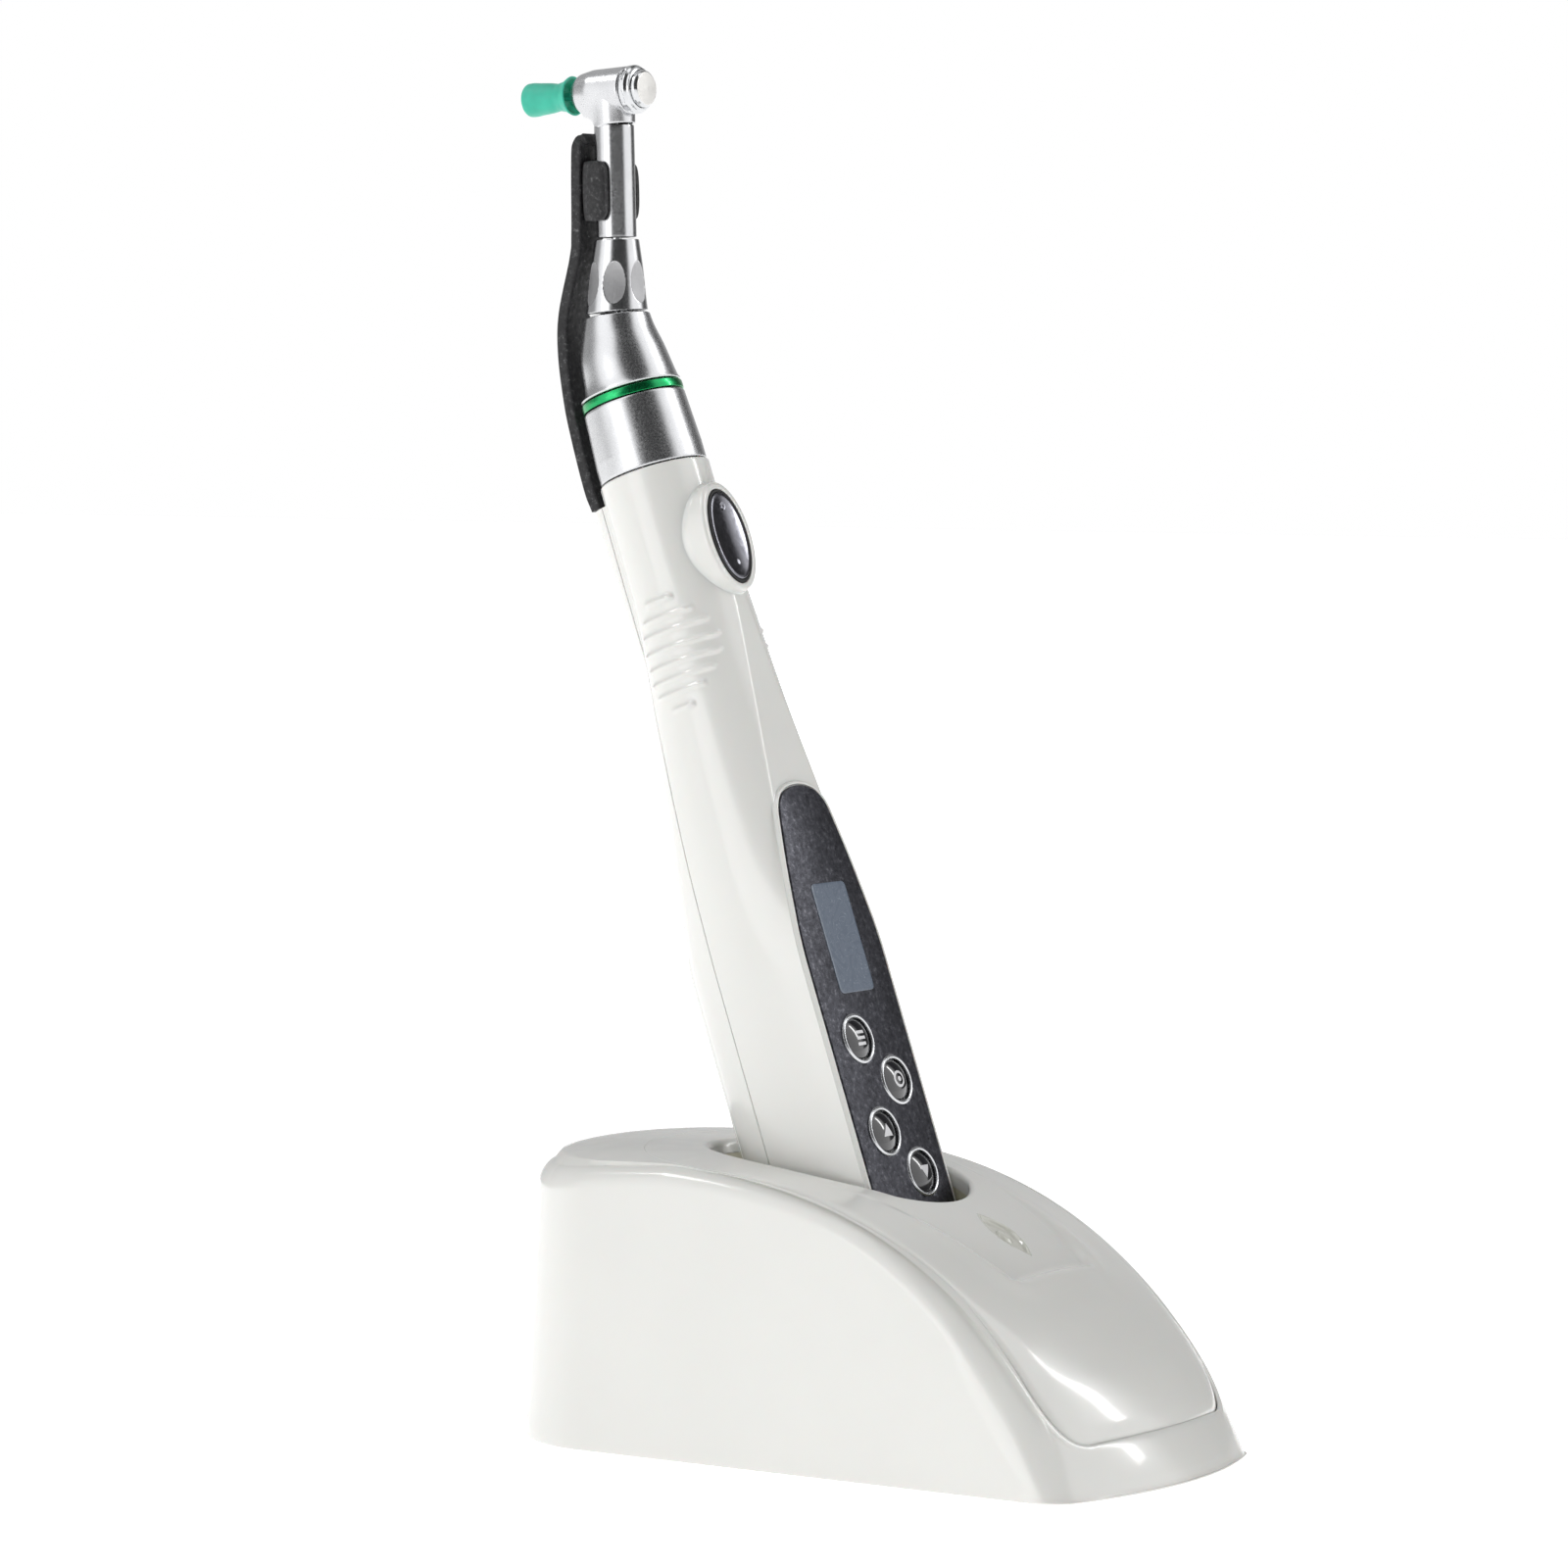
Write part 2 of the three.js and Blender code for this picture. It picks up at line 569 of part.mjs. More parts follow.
function buildKeypad() {
  const ringHoles = Object.values(KEYS).map((place) => keyRod(KEY.ringOut + 0.2, 6, 20, place));
  const panel = cut(
    alongX(panelOutline(0), PANEL.back, PANEL.front),
    alongX(screenOutline(GAP), 0, 20),
    ...ringHoles,
  );
  add(handpiece, 'control_panel', panel, 'panelPlastic');
  add(handpiece, 'lcd_window', alongX(screenOutline(0), PANEL.back, PANEL.front - 0.1), 'screenGlass');
  add(handpiece, 'lcd_module', alongX(screenOutline(0.9), 9.2, PANEL.back - GAP), 'blackPlastic');

  for (const [name, [y, z]] of Object.entries(KEYS)) {
    const ring = layAlongX(pipe(KEY.ringOut, KEY.ringIn, PANEL.back - 1, KEY.ringFront));
    add(handpiece, `key_ring_${name}`, ring.translate(0, y, z), 'silverTrim');
    const dome = turned([
      [0, KEY.back], [KEY.radius, KEY.back], [KEY.radius, 12.4], [3, 12.9], [1.6, KEY.front], [0, KEY.front],
    ]);
    add(handpiece, `key_${name}`, layAlongX(dome).translate(0, y, z), 'blackGloss');
  }

  const gasket = cut(alongX(switchOval(0.6), 9.6, 13.1), alongX(switchOval(0.15), 0, 20));
  add(handpiece, 'switch_gasket', gasket, 'rubber');
  add(handpiece, 'motor_switch', alongX(switchOval(0), 9.5, SWITCH.front), 'blackGloss');
}

function buildDrive() {
  add(handpiece, 'main_board', block(6.6, 8.2, -10, 10, 12, 84), 'circuitBoard');
  const battery = rod(BATTERY.radius, BATTERY.low, BATTERY.high).translate(BATTERY.x, 0, 0);
  add(handpiece, 'battery_cell', battery, 'cellWrap');
  for (const [side, name] of [[-1, 'left'], [1, 'right']]) {
    const plate = rod(CONTACT.radius, 0.15, 2.2, 16).translate(CONTACT.x, side * CONTACT.y, 0);
    add(handpiece, `charge_contact_${name}`, plate, 'gold');
  }

  const { radius, low, high, shaft, noseRadius, noseTop } = MOTOR;
  const can = turned([
    [0, low], [radius, low], [radius, high], [shaft + 0.5, high], [shaft + 0.5, high - 2],
    [radius - 1, high - 2], [radius - 1, low + 1.5], [0, low + 1.5],
  ], 16);
  add(handpiece, 'motor_can', can, 'satinSteel');
  const nose = turned([
    [2.4, high + GAP], [8.6, high + GAP], [8.6, GRIP.length - 0.2], [noseRadius, GRIP.length - 0.2],
    [noseRadius, noseTop - 1], [noseRadius - 1, noseTop], [2.4, noseTop], [2.4, high + GAP],
  ], 20);
  add(handpiece, 'motor_nose', nose, 'polishedSteel');
  const rotor = turned([
    [0, low + 2], [shaft, low + 2], [shaft, low + 5], [5.6, low + 5], [5.6, high - 6],
    [shaft, high - 6], [shaft, noseTop + 1], [0, noseTop + 1],
  ], 12);
  add(handpiece, 'motor_rotor', rotor, 'satinSteel');
}

// ---- the contra-angle --------------------------------------------------------------------

function axisPoint(z) {
  return new THREE.Vector3(0, 0, z).applyAxisAngle(new THREE.Vector3(0, 1, 0), -LEAN).add(GRIP_FOOT);
}

// A bent round tube from stations of [x, z, lean in degrees, outer radius, inner radius].
function bentTube(stations, sides = 20) {
  const circle = (x, z, lean, radius) => {
    const ring = [];
    for (let i = 0; i < sides; i += 1) {
      const angle = (2 * Math.PI * i) / sides;
      const point = new THREE.Vector3(radius * Math.cos(angle), radius * Math.sin(angle), 0);
      point.applyAxisAngle(new THREE.Vector3(0, 1, 0), -THREE.MathUtils.degToRad(lean));
      ring.push(point.add(new THREE.Vector3(x, 0, z)));
    }
    return ring;
  };
  const outside = stations.map(([x, z, lean, outer]) => circle(x, z, lean, outer));
  const inside = stations.map(([x, z, lean, , inner]) => circle(x, z, lean, inner)).reverse();
  return skin([...outside, ...inside], true);
}

function buildBarrel() {
  const start = GRIP.length + GAP;
  const { foot, ringRadius, ringLow, ringHigh } = BARREL;
  const sleeve = turned([
    [MOTOR.noseRadius + GAP, start], [foot, start], [foot, 170], [ringRadius + 0.1, ringLow - GAP],
    [8.2, ringLow - GAP], [8.2, 179], [MOTOR.noseRadius + GAP, 179], [MOTOR.noseRadius + GAP, start],
  ], 20);
  contraAngle.add(inHandpieceFrame('barrel_sleeve', sleeve, 'satinSteel'));
  const ring = pipe(ringRadius + 0.05, 8.2, ringLow, ringHigh, 20);
  contraAngle.add(inHandpieceFrame('color_ring', ring, 'greenRing'));
  const gearbox = pipe(6.5, 2.2, 182.2, 188.5);
  contraAngle.add(inHandpieceFrame('reduction_gearbox', gearbox, 'satinSteel'));
  const input = turned([
    [0, 179.6], [2, 179.6], [2, 181.2], [1.5, 181.2], [1.5, 191.5], [0, 191.5],
  ], 12);
  contraAngle.add(inHandpieceFrame('input_shaft', input, 'polishedSteel'));

  const low = axisPoint(ringHigh + GAP);
  const leanDegrees = THREE.MathUtils.radToDeg(LEAN);
  add(contraAngle, 'upper_barrel', bentTube([
    [low.x, low.z, leanDegrees, ringRadius, 8.2], [-51.9, 210, 16, 8.35, 7.2],
    [-52.9, 214.6, 11, 7.1, 5.9], [-53.3, 217.6, 8, 6.35, 5.2],
  ]), 'satinSteel');
  add(contraAngle, 'neck_collar', bentTube([
    [-53.35, 218.1, 6, 6.1, 4.4], [-53.35, 221, 3, 5.7, 4], [-53.32, 232.3, 1.6, 4.35, 2.6],
  ]), 'satinSteel');
}

// A mesh whose geometry is drawn in the handpiece's own frame.
function inHandpieceFrame(name, geometry, finish) {
  const holder = new THREE.Group();
  holder.position.copy(GRIP_FOOT);
  holder.rotation.y = -LEAN;
  add(holder, name, geometry, finish);
  return holder;
}

function neckPoint(z) {
  const share = (z - NECK.z) / (NECK.topZ - NECK.z);
  return NECK.x + share * (NECK.topX - NECK.x);
}

function buildNeck() {
  const neckLean = THREE.MathUtils.radToDeg(Math.atan((NECK.x - NECK.topX) / (NECK.topZ - NECK.z)));
  const station = (z, outer, inner) => [neckPoint(z), z, neckLean, outer, inner];
  add(contraAngle, 'neck_tube', bentTube([
    station(NECK.z, NECK.radius, NECK.bore), station(254.6, NECK.radius, NECK.bore),
  ], 20), 'polishedSteel');

  const shaft = (profile, sides) => (
    turned(profile, sides).rotateY(-THREE.MathUtils.degToRad(neckLean)).translate(neckPoint(216), 0, 216)
  );
  add(contraAngle, 'drive_shaft', shaft([
    [0, -0.5], [1.9, -0.5], [1.9, 1], [1, 1], [1, 41], [1.25, 41], [1.15, 42.4], [0, 42.4],
  ], 16), 'polishedSteel');
  add(contraAngle, 'neck_bearing', shaft([
    [1.2, 34], [2.3, 34], [2.3, 36], [1.2, 36], [1.2, 34],
  ], 16), 'satinSteel');

}

// The head's pieces are drawn about its own middle, with x along the file's axis.
function buildHead() {
  const head = new THREE.Group();
  head.position.set(HEAD.x, 0, HEAD.z);
  head.rotation.y = -THREE.MathUtils.degToRad(HEAD.tilt);
  contraAngle.add(head);
  const { back, front, radius, bore } = HEAD;
  const barrel = layAlongX(turned([
    [0, back], [3.6, back], [radius, back + 2.2], [radius, front], [0, front],
  ], 24));
  const casing = cut(
    join(barrel, rod(NECK.radius, -6.1, -1, 20)),
    layAlongX(rod(bore, back + 2.2, front + 1, 24)),
    layAlongX(rod(2.2, back - 1, back + 3)),
    rod(1.75, -7, -2.2),
  );
  add(head, 'head_shell', casing, 'satinSteel');

  const spindle = cut(
    turned([[0, back], [1.9, back], [1.9, 1.5], [3.4, 1.5], [3.4, 2.7], [1.9, 2.7], [1.9, 3.3], [0, 3.3]]),
    rod(1.2, back - 1, 0, 12),
  );
  add(head, 'chuck_spindle', layAlongX(spindle), 'polishedSteel');
  const capRing = turned([
    [3.95, front + GAP], [4.75, front + GAP], [4.75, 6.2], [4.4, 6.7], [3.95, 6.7], [3.95, front + GAP],
  ], 20);
  add(head, 'head_cap_ring', layAlongX(capRing), 'polishedSteel');
  const cap = turned([
    [0, 7], [3, 7], [3, 3.9], [3.65, 3.9], [3.65, 7.7], [3.2, 8.2], [0, 8.2],
  ], 20);
  add(head, 'push_cap', layAlongX(cap), 'frostedSteel');
  add(head, 'cap_spring', layAlongX(pipe(2.4, 1.6, 3.7, 5.8)), 'polishedSteel');

  const { tip, mouth } = PLUG;
  const plug = turned([
    [0, tip], [2.9, tip], [3.3, tip + 0.5], [3.2, -17], [3, -14.5], [2.7, mouth - 3.5],
    [3, mouth - 2], [3.9, mouth], [3.3, mouth], [0.9, mouth - 2], [0.9, -3.9], [0, -3.9],
  ]);
  add(head, 'dust_plug', layAlongX(plug), 'tealSilicone');
}

// The black bracket clips on the neck and runs down the back of the contra-angle.
function buildBracket() {
  const spine = new THREE.CatmullRomCurve3([
    [-59.8, 253], [-61.5, 250.5], [-61.6, 234], [-62, 229], [-64.7, 218], [-64.9, 210],
    [-63.5, 200.5], [-61.9, 194], [-59.3, 185.3], [-57.1, 179.2],
  ].map(([x, z]) => new THREE.Vector3(x, 0, z)), false, 'catmullrom', 0.4);
  const outer = spine.getSpacedPoints(18);
  const inner = outer.map((point, i) => {
    const tangent = spine.getTangentAt(i / 18);
    return new THREE.Vector3(point.x - tangent.z * BRACKET.thick, 0, point.z + tangent.x * BRACKET.thick);
  });
  const strip = alongY(outline([...outer, ...inner.reverse()].map(({ x, z }) => [x, z])), BRACKET.half);
  const { jawLow, jawHigh, jawOut, jawIn } = BRACKET;
  const jaw = cut(
    rod(jawOut, jawLow, jawHigh, 24),
    rod(jawIn, jawLow - 1, jawHigh + 1, 24),
    block(0.4, 20, -20, 20, jawLow - 1, jawHigh + 1),
  ).translate(neckPoint((jawLow + jawHigh) / 2), 0, 0);
  add(contraAngle, 'back_bracket', join(strip, jaw), 'charcoal');
}

buildDock();
buildShells();
buildKeypad();
buildDrive();
buildBarrel();
buildNeck();
buildHead();
buildBracket();

export default motorAndDock;
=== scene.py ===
"""The looks of a cordless endodontic motor standing in its charging dock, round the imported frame.

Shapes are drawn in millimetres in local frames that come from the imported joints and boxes:
the dock's, the grip's (z up its own axis, x to the keypad), the neck's and the head's.
"""

import json
import math

import bmesh
import bpy
import numpy as np
from mathutils import Matrix, Vector
from mathutils.geometry import tessellate_polygon


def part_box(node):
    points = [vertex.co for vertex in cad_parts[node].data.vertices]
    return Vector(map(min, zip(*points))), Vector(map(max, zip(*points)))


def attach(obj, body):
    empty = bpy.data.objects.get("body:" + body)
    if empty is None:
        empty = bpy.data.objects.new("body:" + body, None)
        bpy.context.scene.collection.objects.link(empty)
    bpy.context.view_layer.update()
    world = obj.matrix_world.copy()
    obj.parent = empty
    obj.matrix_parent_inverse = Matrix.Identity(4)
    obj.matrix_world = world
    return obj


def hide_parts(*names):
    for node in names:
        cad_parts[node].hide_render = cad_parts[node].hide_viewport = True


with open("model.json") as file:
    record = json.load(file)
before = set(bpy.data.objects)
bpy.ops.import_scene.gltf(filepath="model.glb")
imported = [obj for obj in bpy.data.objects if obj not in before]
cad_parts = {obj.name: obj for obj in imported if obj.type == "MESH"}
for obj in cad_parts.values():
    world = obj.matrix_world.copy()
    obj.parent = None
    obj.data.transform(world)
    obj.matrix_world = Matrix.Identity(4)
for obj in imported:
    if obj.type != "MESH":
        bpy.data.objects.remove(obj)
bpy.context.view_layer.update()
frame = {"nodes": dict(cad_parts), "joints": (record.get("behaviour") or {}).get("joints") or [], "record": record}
JOINTS = {joint["name"]: joint for joint in frame["joints"]}
MM = 0.001


# ---- local frames --------------------------------------------------------------------------


def place_of(origin, x_axis, z_axis):
    """The frame with this origin and these axes, as a matrix from millimetres to metres."""
    x_axis, z_axis = Vector(x_axis).normalized(), Vector(z_axis).normalized()
    turn = Matrix((x_axis, z_axis.cross(x_axis), z_axis)).transposed().to_4x4()
    return Matrix.Translation(origin) @ turn @ Matrix.Scale(MM, 4)


def upright_place(joint):
    """The frame on a joint whose z follows its axis and whose x faces the keypad side."""
    axis = Vector(JOINTS[joint]["axis"])
    return place_of(JOINTS[joint]["pos_m"], Vector((0, 1, 0)).cross(axis), axis)


NOSE = 77.1  # from the dock's own origin to its nose
DOCK_LOW, DOCK_HIGH = (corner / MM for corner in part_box("dock_shell"))
DOCK_PLACE = place_of(((DOCK_HIGH.x - NOSE) * MM, 0, 0), (1, 0, 0), (0, 0, 1))
GRIP_PLACE = upright_place("rotor_spin")
NECK_PLACE = upright_place("drive_shaft_spin")
HEAD_AXIS = Vector(JOINTS["chuck_spin"]["axis"])
HEAD_PLACE = place_of(JOINTS["chuck_spin"]["pos_m"], HEAD_AXIS, HEAD_AXIS.cross(Vector((0, 1, 0))))
GRIP_FOOT = DOCK_PLACE.inverted() @ Vector(JOINTS["rotor_spin"]["pos_m"])
GRIP_AXIS = Vector(JOINTS["rotor_spin"]["axis"]).normalized()
GRIP_FACE = Vector((0, 1, 0)).cross(GRIP_AXIS)


# ---- numbers that shape surfaces -----------------------------------------------------------


def smoothstep(low, high, value):
    share = np.clip((value - low) / (high - low), 0, 1)
    return share * share * (3 - 2 * share)


def lerp(a, b, share):
    return a + (b - a) * share


def softened(pairs, spread, step=0.5, pad=30):
    """A function through [at, value] pairs whose corners are rounded over the spread."""
    at = np.arange(pairs[0][0] - pad, pairs[-1][0] + pad, step)
    values = np.interp(at, [a for a, _ in pairs], [b for _, b in pairs])
    reach = int(3 * spread / step)
    offsets = np.arange(-reach, reach + 1) * step
    weights = np.exp(-0.5 * (offsets / spread) ** 2)
    padded = np.pad(values, reach, mode="edge")
    smooth = np.convolve(padded, weights / weights.sum(), mode="valid")
    return lambda where: np.interp(where, at, smooth)


def resampled(points, count, closed=False):
    """The same line with points evenly spaced along it. A closed line leaves out its last point."""
    points = np.asarray(points, float)
    if closed:
        points = np.vstack([points, points[:1]])
    along = np.concatenate([[0], np.cumsum(np.linalg.norm(np.diff(points, axis=0), axis=1))])
    wanted = np.linspace(0, along[-1], count, endpoint=not closed)
    return np.column_stack([np.interp(wanted, along, column) for column in points.T])


def rounded(corners, steps=5):
    """A line through (a, b, radius) corners, with each corner turned on its radius."""
    line = [np.array(corners[0][:2], float)]
    for before, (a, b, radius), after in zip(corners, corners[1:-1], corners[2:]):
        corner = np.array([a, b], float)
        back = np.array(before[:2], float) - corner
        on = np.array(after[:2], float) - corner
        back_length, on_length = np.linalg.norm(back), np.linalg.norm(on)
        back, on = back / back_length, on / on_length
        half = math.acos(np.clip(back @ on, -1, 1)) / 2
        if radius <= 0 or half > math.radians(88):
            line.append(corner)
            continue
        reach = min(radius / math.tan(half), back_length * 0.49, on_length * 0.49)
        for share in np.linspace(0, 1, steps + 1):
            near = corner + back * reach * (1 - share)
            far = corner + on * reach * share
            line.append(lerp(near, far, share))
    line.append(np.array(corners[-1][:2], float))
    return np.array(line)


def outward_normals(loop):
    """Unit normals of a closed counter-clockwise plane loop."""
    along = np.roll(loop, -1, axis=0) - np.roll(loop, 1, axis=0)
    normal = np.column_stack([along[:, 1], -along[:, 0]])
    return normal / np.linalg.norm(normal, axis=1)[:, None]


def bezier2(a, b, c, count):
    t = np.linspace(0, 1, count)[:, None]
    return (1 - t) ** 2 * np.array(a) + 2 * t * (1 - t) * np.array(b) + t * t * np.array(c)


def mirrored_loop(half, flip=(1, -1)):
    """A closed loop from one half, whose first and last points lie on the mirror line."""
    half = np.asarray(half, float)
    return np.vstack([half, (half * flip)[-2:0:-1]])


def facing(across, y, z):
    """Points that lie across forward of the plane of a loop in (y, z)."""
    return np.column_stack([across + 0 * y, y, z])


# ---- meshes --------------------------------------------------------------------------------


def new_object(name, data):
    thing = bpy.data.objects.new(name, data)
    bpy.context.scene.collection.objects.link(thing)
    return thing


class Form:
    """The points and faces of one piece, in millimetres, each face with its material's number."""

    def __init__(self):
        self.points, self.faces, self.kinds, self.count = [], [], [], 0

    def add(self, points, faces, kinds=0):
        kinds = [kinds] * len(faces) if isinstance(kinds, int) else list(kinds)
        self.faces += [tuple(int(i) + self.count for i in face) for face in faces]
        self.kinds += kinds
        self.points.append(np.asarray(points, float).reshape(-1, 3))
        self.count += len(self.points[-1])
        return self

    def skin(self, rings, closed=True, start=False, end=False, kinds=0):
        """A skin over rings of points, and a flat face over its start or end."""
        rings = np.asarray(rings, float)
        rows, count = rings.shape[:2]
        across = np.arange(count if closed else count - 1)
        row = np.arange(rows - 1)[:, None] * count
        a, b = row + across, row + (across + 1) % count
        quads = np.stack([a, b, b + count, a + count], axis=-1).reshape(-1, 4)
        faces = quads.tolist()
        if not isinstance(kinds, int):
            kinds = list(np.asarray(kinds).reshape(-1)) + [0] * (int(start) + int(end))
        if start:
            faces.append(list(range(count))[::-1])
        if end:
            faces.append([(rows - 1) * count + i for i in range(count)])
        return self.add(rings.reshape(-1, 3), faces, kinds)

    def sheet(self, loops, lift):
        """A flat sheet between an outer plane loop and its holes. lift makes points of (a, b)."""
        flat = [[Vector((a, b, 0)) for a, b in loop] for loop in loops]
        triangles = tessellate_polygon(flat)
        corners = np.vstack([np.asarray(loop, float) for loop in loops])
        return self.add(lift(corners), triangles)

    def piece(self, name, place, body, node, slot, sharp=40, materials=None):
        """Makes the Blender object, rides it on its body and hides the CAD node it stands for, where there is one.

        Edges over the sharp angle stay crisp. The materials are the slot's own unless given.
        """
        matrix = np.array(place)
        points = np.vstack(self.points) @ matrix[:3, :3].T + matrix[:3, 3]
        mesh = bpy.data.meshes.new(name)
        mesh.from_pydata(points.tolist(), [], self.faces)
        mesh.polygons.foreach_set("material_index", self.kinds)
        shell = bmesh.new()
        shell.from_mesh(mesh)
        bmesh.ops.remove_doubles(shell, verts=shell.verts, dist=1e-7)
        bmesh.ops.recalc_face_normals(shell, faces=shell.faces)
        shell.to_mesh(mesh)
        shell.free()
        mesh.shade_smooth()
        mesh.set_sharp_from_angle(angle=math.radians(sharp))
        piece = new_object(name, mesh)
        for material in materials or [FINISH[slot]]:
            mesh.materials.append(material)
        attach(piece, body)
        if node:
            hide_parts(node)


def turned(profile, sides=96, along="z"):
    """Rings of a body turned about its z or x axis from (radius, height) points."""
    profile = np.asarray(profile, float)
    angles = np.arange(sides) * 2 * np.pi / sides
    radius, height = profile[:, :1], profile[:, 1:2]
    a, b = radius * np.cos(angles), radius * np.sin(angles)
    h = np.broadcast_to(height, a.shape)
    return np.stack([a, b, h] if along == "z" else [h, a, b], axis=-1)


# ---- materials -----------------------------------------------------------------------------


def set_inputs(node, **values):
    """Sets a node's sockets. An underscore stands for a space in a socket's name."""
    for socket, value in values.items():
        node.inputs[socket.replace("_", " ")].default_value = value


def color_ramp(nodes, stops):
    """A colour ramp through (at, colour) stops."""
    ramp = nodes.new("ShaderNodeValToRGB")
    while len(ramp.color_ramp.elements) < len(stops):
        ramp.color_ramp.elements.new(0.5)
    for element, (at, color) in zip(ramp.color_ramp.elements, stops):
        element.position = at
        element.color = (*color, 1)
    return ramp


class Shade:
    """A node material round one Principled shader. Scales are in features per millimetre."""

    def __init__(self, name, color, roughness=0.4, metallic=0.0, **sockets):
        self.material = bpy.data.materials.new(name)
        self.material.use_nodes = True
        self.nodes = self.material.node_tree.nodes
        self.links = self.material.node_tree.links
        self.shader = self.nodes["Principled BSDF"]
        self.place = self.nodes.new("ShaderNodeTexCoord").outputs["Object"]
        set_inputs(
            self.shader, Base_Color=(*color, 1), Roughness=roughness, Metallic=metallic, **sockets,
        )

    def noise(self, per_mm, detail=3.0, rough=0.5, distortion=0.0):
        node = self.nodes.new("ShaderNodeTexNoise")
        set_inputs(
            node, Scale=per_mm / MM, Detail=detail, Roughness=rough, Distortion=distortion,
        )
        self.links.new(self.place, node.inputs["Vector"])
        return node.outputs["Fac"]

    def cells(self, per_mm):
        node = self.nodes.new("ShaderNodeTexVoronoi")
        set_inputs(node, Scale=per_mm / MM)
        self.links.new(self.place, node.inputs["Vector"])
        return node.outputs["Distance"]

    def paint(self, value, stops):
        """Colours the surface by a value, through (at, colour) stops."""
        ramp = color_ramp(self.nodes, stops)
        self.links.new(value, ramp.inputs["Fac"])
        self.links.new(ramp.outputs["Color"], self.shader.inputs["Base Color"])
        return self

    def gloss(self, value, low, high, to_low, to_high):
        """Turns a value between low and high into a roughness between to_low and to_high."""
        node = self.nodes.new("ShaderNodeMapRange")
        set_inputs(node, From_Min=low, From_Max=high, To_Min=to_low, To_Max=to_high)
        self.links.new(value, node.inputs["Value"])
        self.links.new(node.outputs["Result"], self.shader.inputs["Roughness"])
        return self

    def bump(self, value, height, strength=1.0):
        """Raises the surface by up to a height in millimetres."""
        node = self.nodes.new("ShaderNodeBump")
        set_inputs(node, Strength=strength, Distance=height * MM)
        self.links.new(value, node.inputs["Height"])
        last = self.shader.inputs["Normal"].links
        if last:
            self.links.new(last[0].from_socket, node.inputs["Normal"])
        self.links.new(node.outputs["Normal"], self.shader.inputs["Normal"])
        return self


def shaded(color, share):
    return tuple(min(1.0, channel * share) for channel in color)


def moulded(name, color, roughness, grain=2.0, height=0.004, **sockets):
    """Moulded plastic or rubber: faint mottling, uneven gloss and a fine grain."""
    shade = Shade(name, color, roughness, **sockets)
    cloud = shade.noise(0.03, 2)
    shade.paint(cloud, [(0.3, shaded(color, 0.985)), (0.7, shaded(color, 1.01))])
    shade.gloss(shade.noise(0.12, 4), 0.3, 0.7, roughness * 0.85, roughness * 1.2)
    return shade.bump(shade.noise(grain, 2), height, 0.5)


def machined(name, color, roughness, grain, height, **sockets):
    """Metal: a fine grain and slightly uneven gloss."""
    shade = Shade(name, color, roughness, 1.0, **sockets)
    cloud = shade.noise(0.25, 4)
    shade.paint(cloud, [(0.3, shaded(color, 0.94)), (0.7, shaded(color, 1.03))])
    shade.gloss(shade.noise(grain, 3), 0.3, 0.7, roughness * 0.8, roughness * 1.25)
    return shade.bump(shade.noise(grain, 3), height, 0.6)


def panel_shade():
    """Anthracite film with a mottled metallic sheen."""
    shade = Shade("panel_film", (0.1, 0.1, 0.115), 0.3, 0.92, Coat_Weight=0.1, Coat_Roughness=0.12)
    shade.paint(shade.noise(0.9, 6, 0.75), [
        (0.3, (0.018, 0.018, 0.023)), (0.56, (0.065, 0.066, 0.078)), (0.78, (0.24, 0.24, 0.265)),
    ])
    shade.gloss(shade.noise(3.2, 4, 0.65), 0.25, 0.75, 0.22, 0.4)
    shade.bump(shade.noise(1.1, 6, 0.75), 0.05, 0.7)
    return shade.bump(shade.noise(0.07, 2), 0.9, 0.4)


def dark_chrome_shade():
    """The motor switch's black chrome."""
    shade = Shade("dark_chrome", (0.2, 0.2, 0.225), 0.13, 1.0, Coat_Weight=0.3, Coat_Roughness=0.04)
    shade.paint(shade.noise(0.3, 3), [(0.3, (0.17, 0.17, 0.195)), (0.7, (0.23, 0.23, 0.255))])
    shade.gloss(shade.noise(1.2, 4), 0.3, 0.7, 0.1, 0.18)
    return shade.bump(shade.noise(0.12, 2), 0.08, 0.3)


def screen_shade():
    """The slate-blue window over the dark display, with thin pale lines in it."""
    shade = Shade("screen_window", (0.13, 0.16, 0.21), 0.12, 0.0, Coat_Weight=0.6, Coat_Roughness=0.05)
    lines = shade.noise(0.12, 1, distortion=6.0)
    shade.paint(lines, [
        (0.0, (0.105, 0.13, 0.175)), (0.492, (0.125, 0.155, 0.205)),
        (0.5, (0.27, 0.31, 0.37)), (0.508, (0.125, 0.155, 0.205)), (1.0, (0.15, 0.18, 0.235)),
    ])
    shade.gloss(shade.noise(1.5, 5, 0.7), 0.3, 0.7, 0.1, 0.3)
    return shade.bump(shade.noise(0.8, 4), 0.006, 0.4)


def charcoal_shade():
    """Rough dark moulding with light specks in it."""
    shade = Shade("charcoal_moulding", (0.02, 0.02, 0.022), 0.6, 0.0, Specular_IOR_Level=0.4)
    specks = shade.noise(1.15, 8, 0.78)
    shade.paint(specks, [
        (0.44, (0.01, 0.01, 0.011)), (0.56, (0.022, 0.022, 0.024)),
        (0.64, (0.1, 0.1, 0.102)), (0.71, (0.4, 0.4, 0.405)),
    ])
    shade.gloss(shade.noise(0.9, 4), 0.3, 0.7, 0.36, 0.7)
    return shade.bump(specks, 0.14, 0.8)


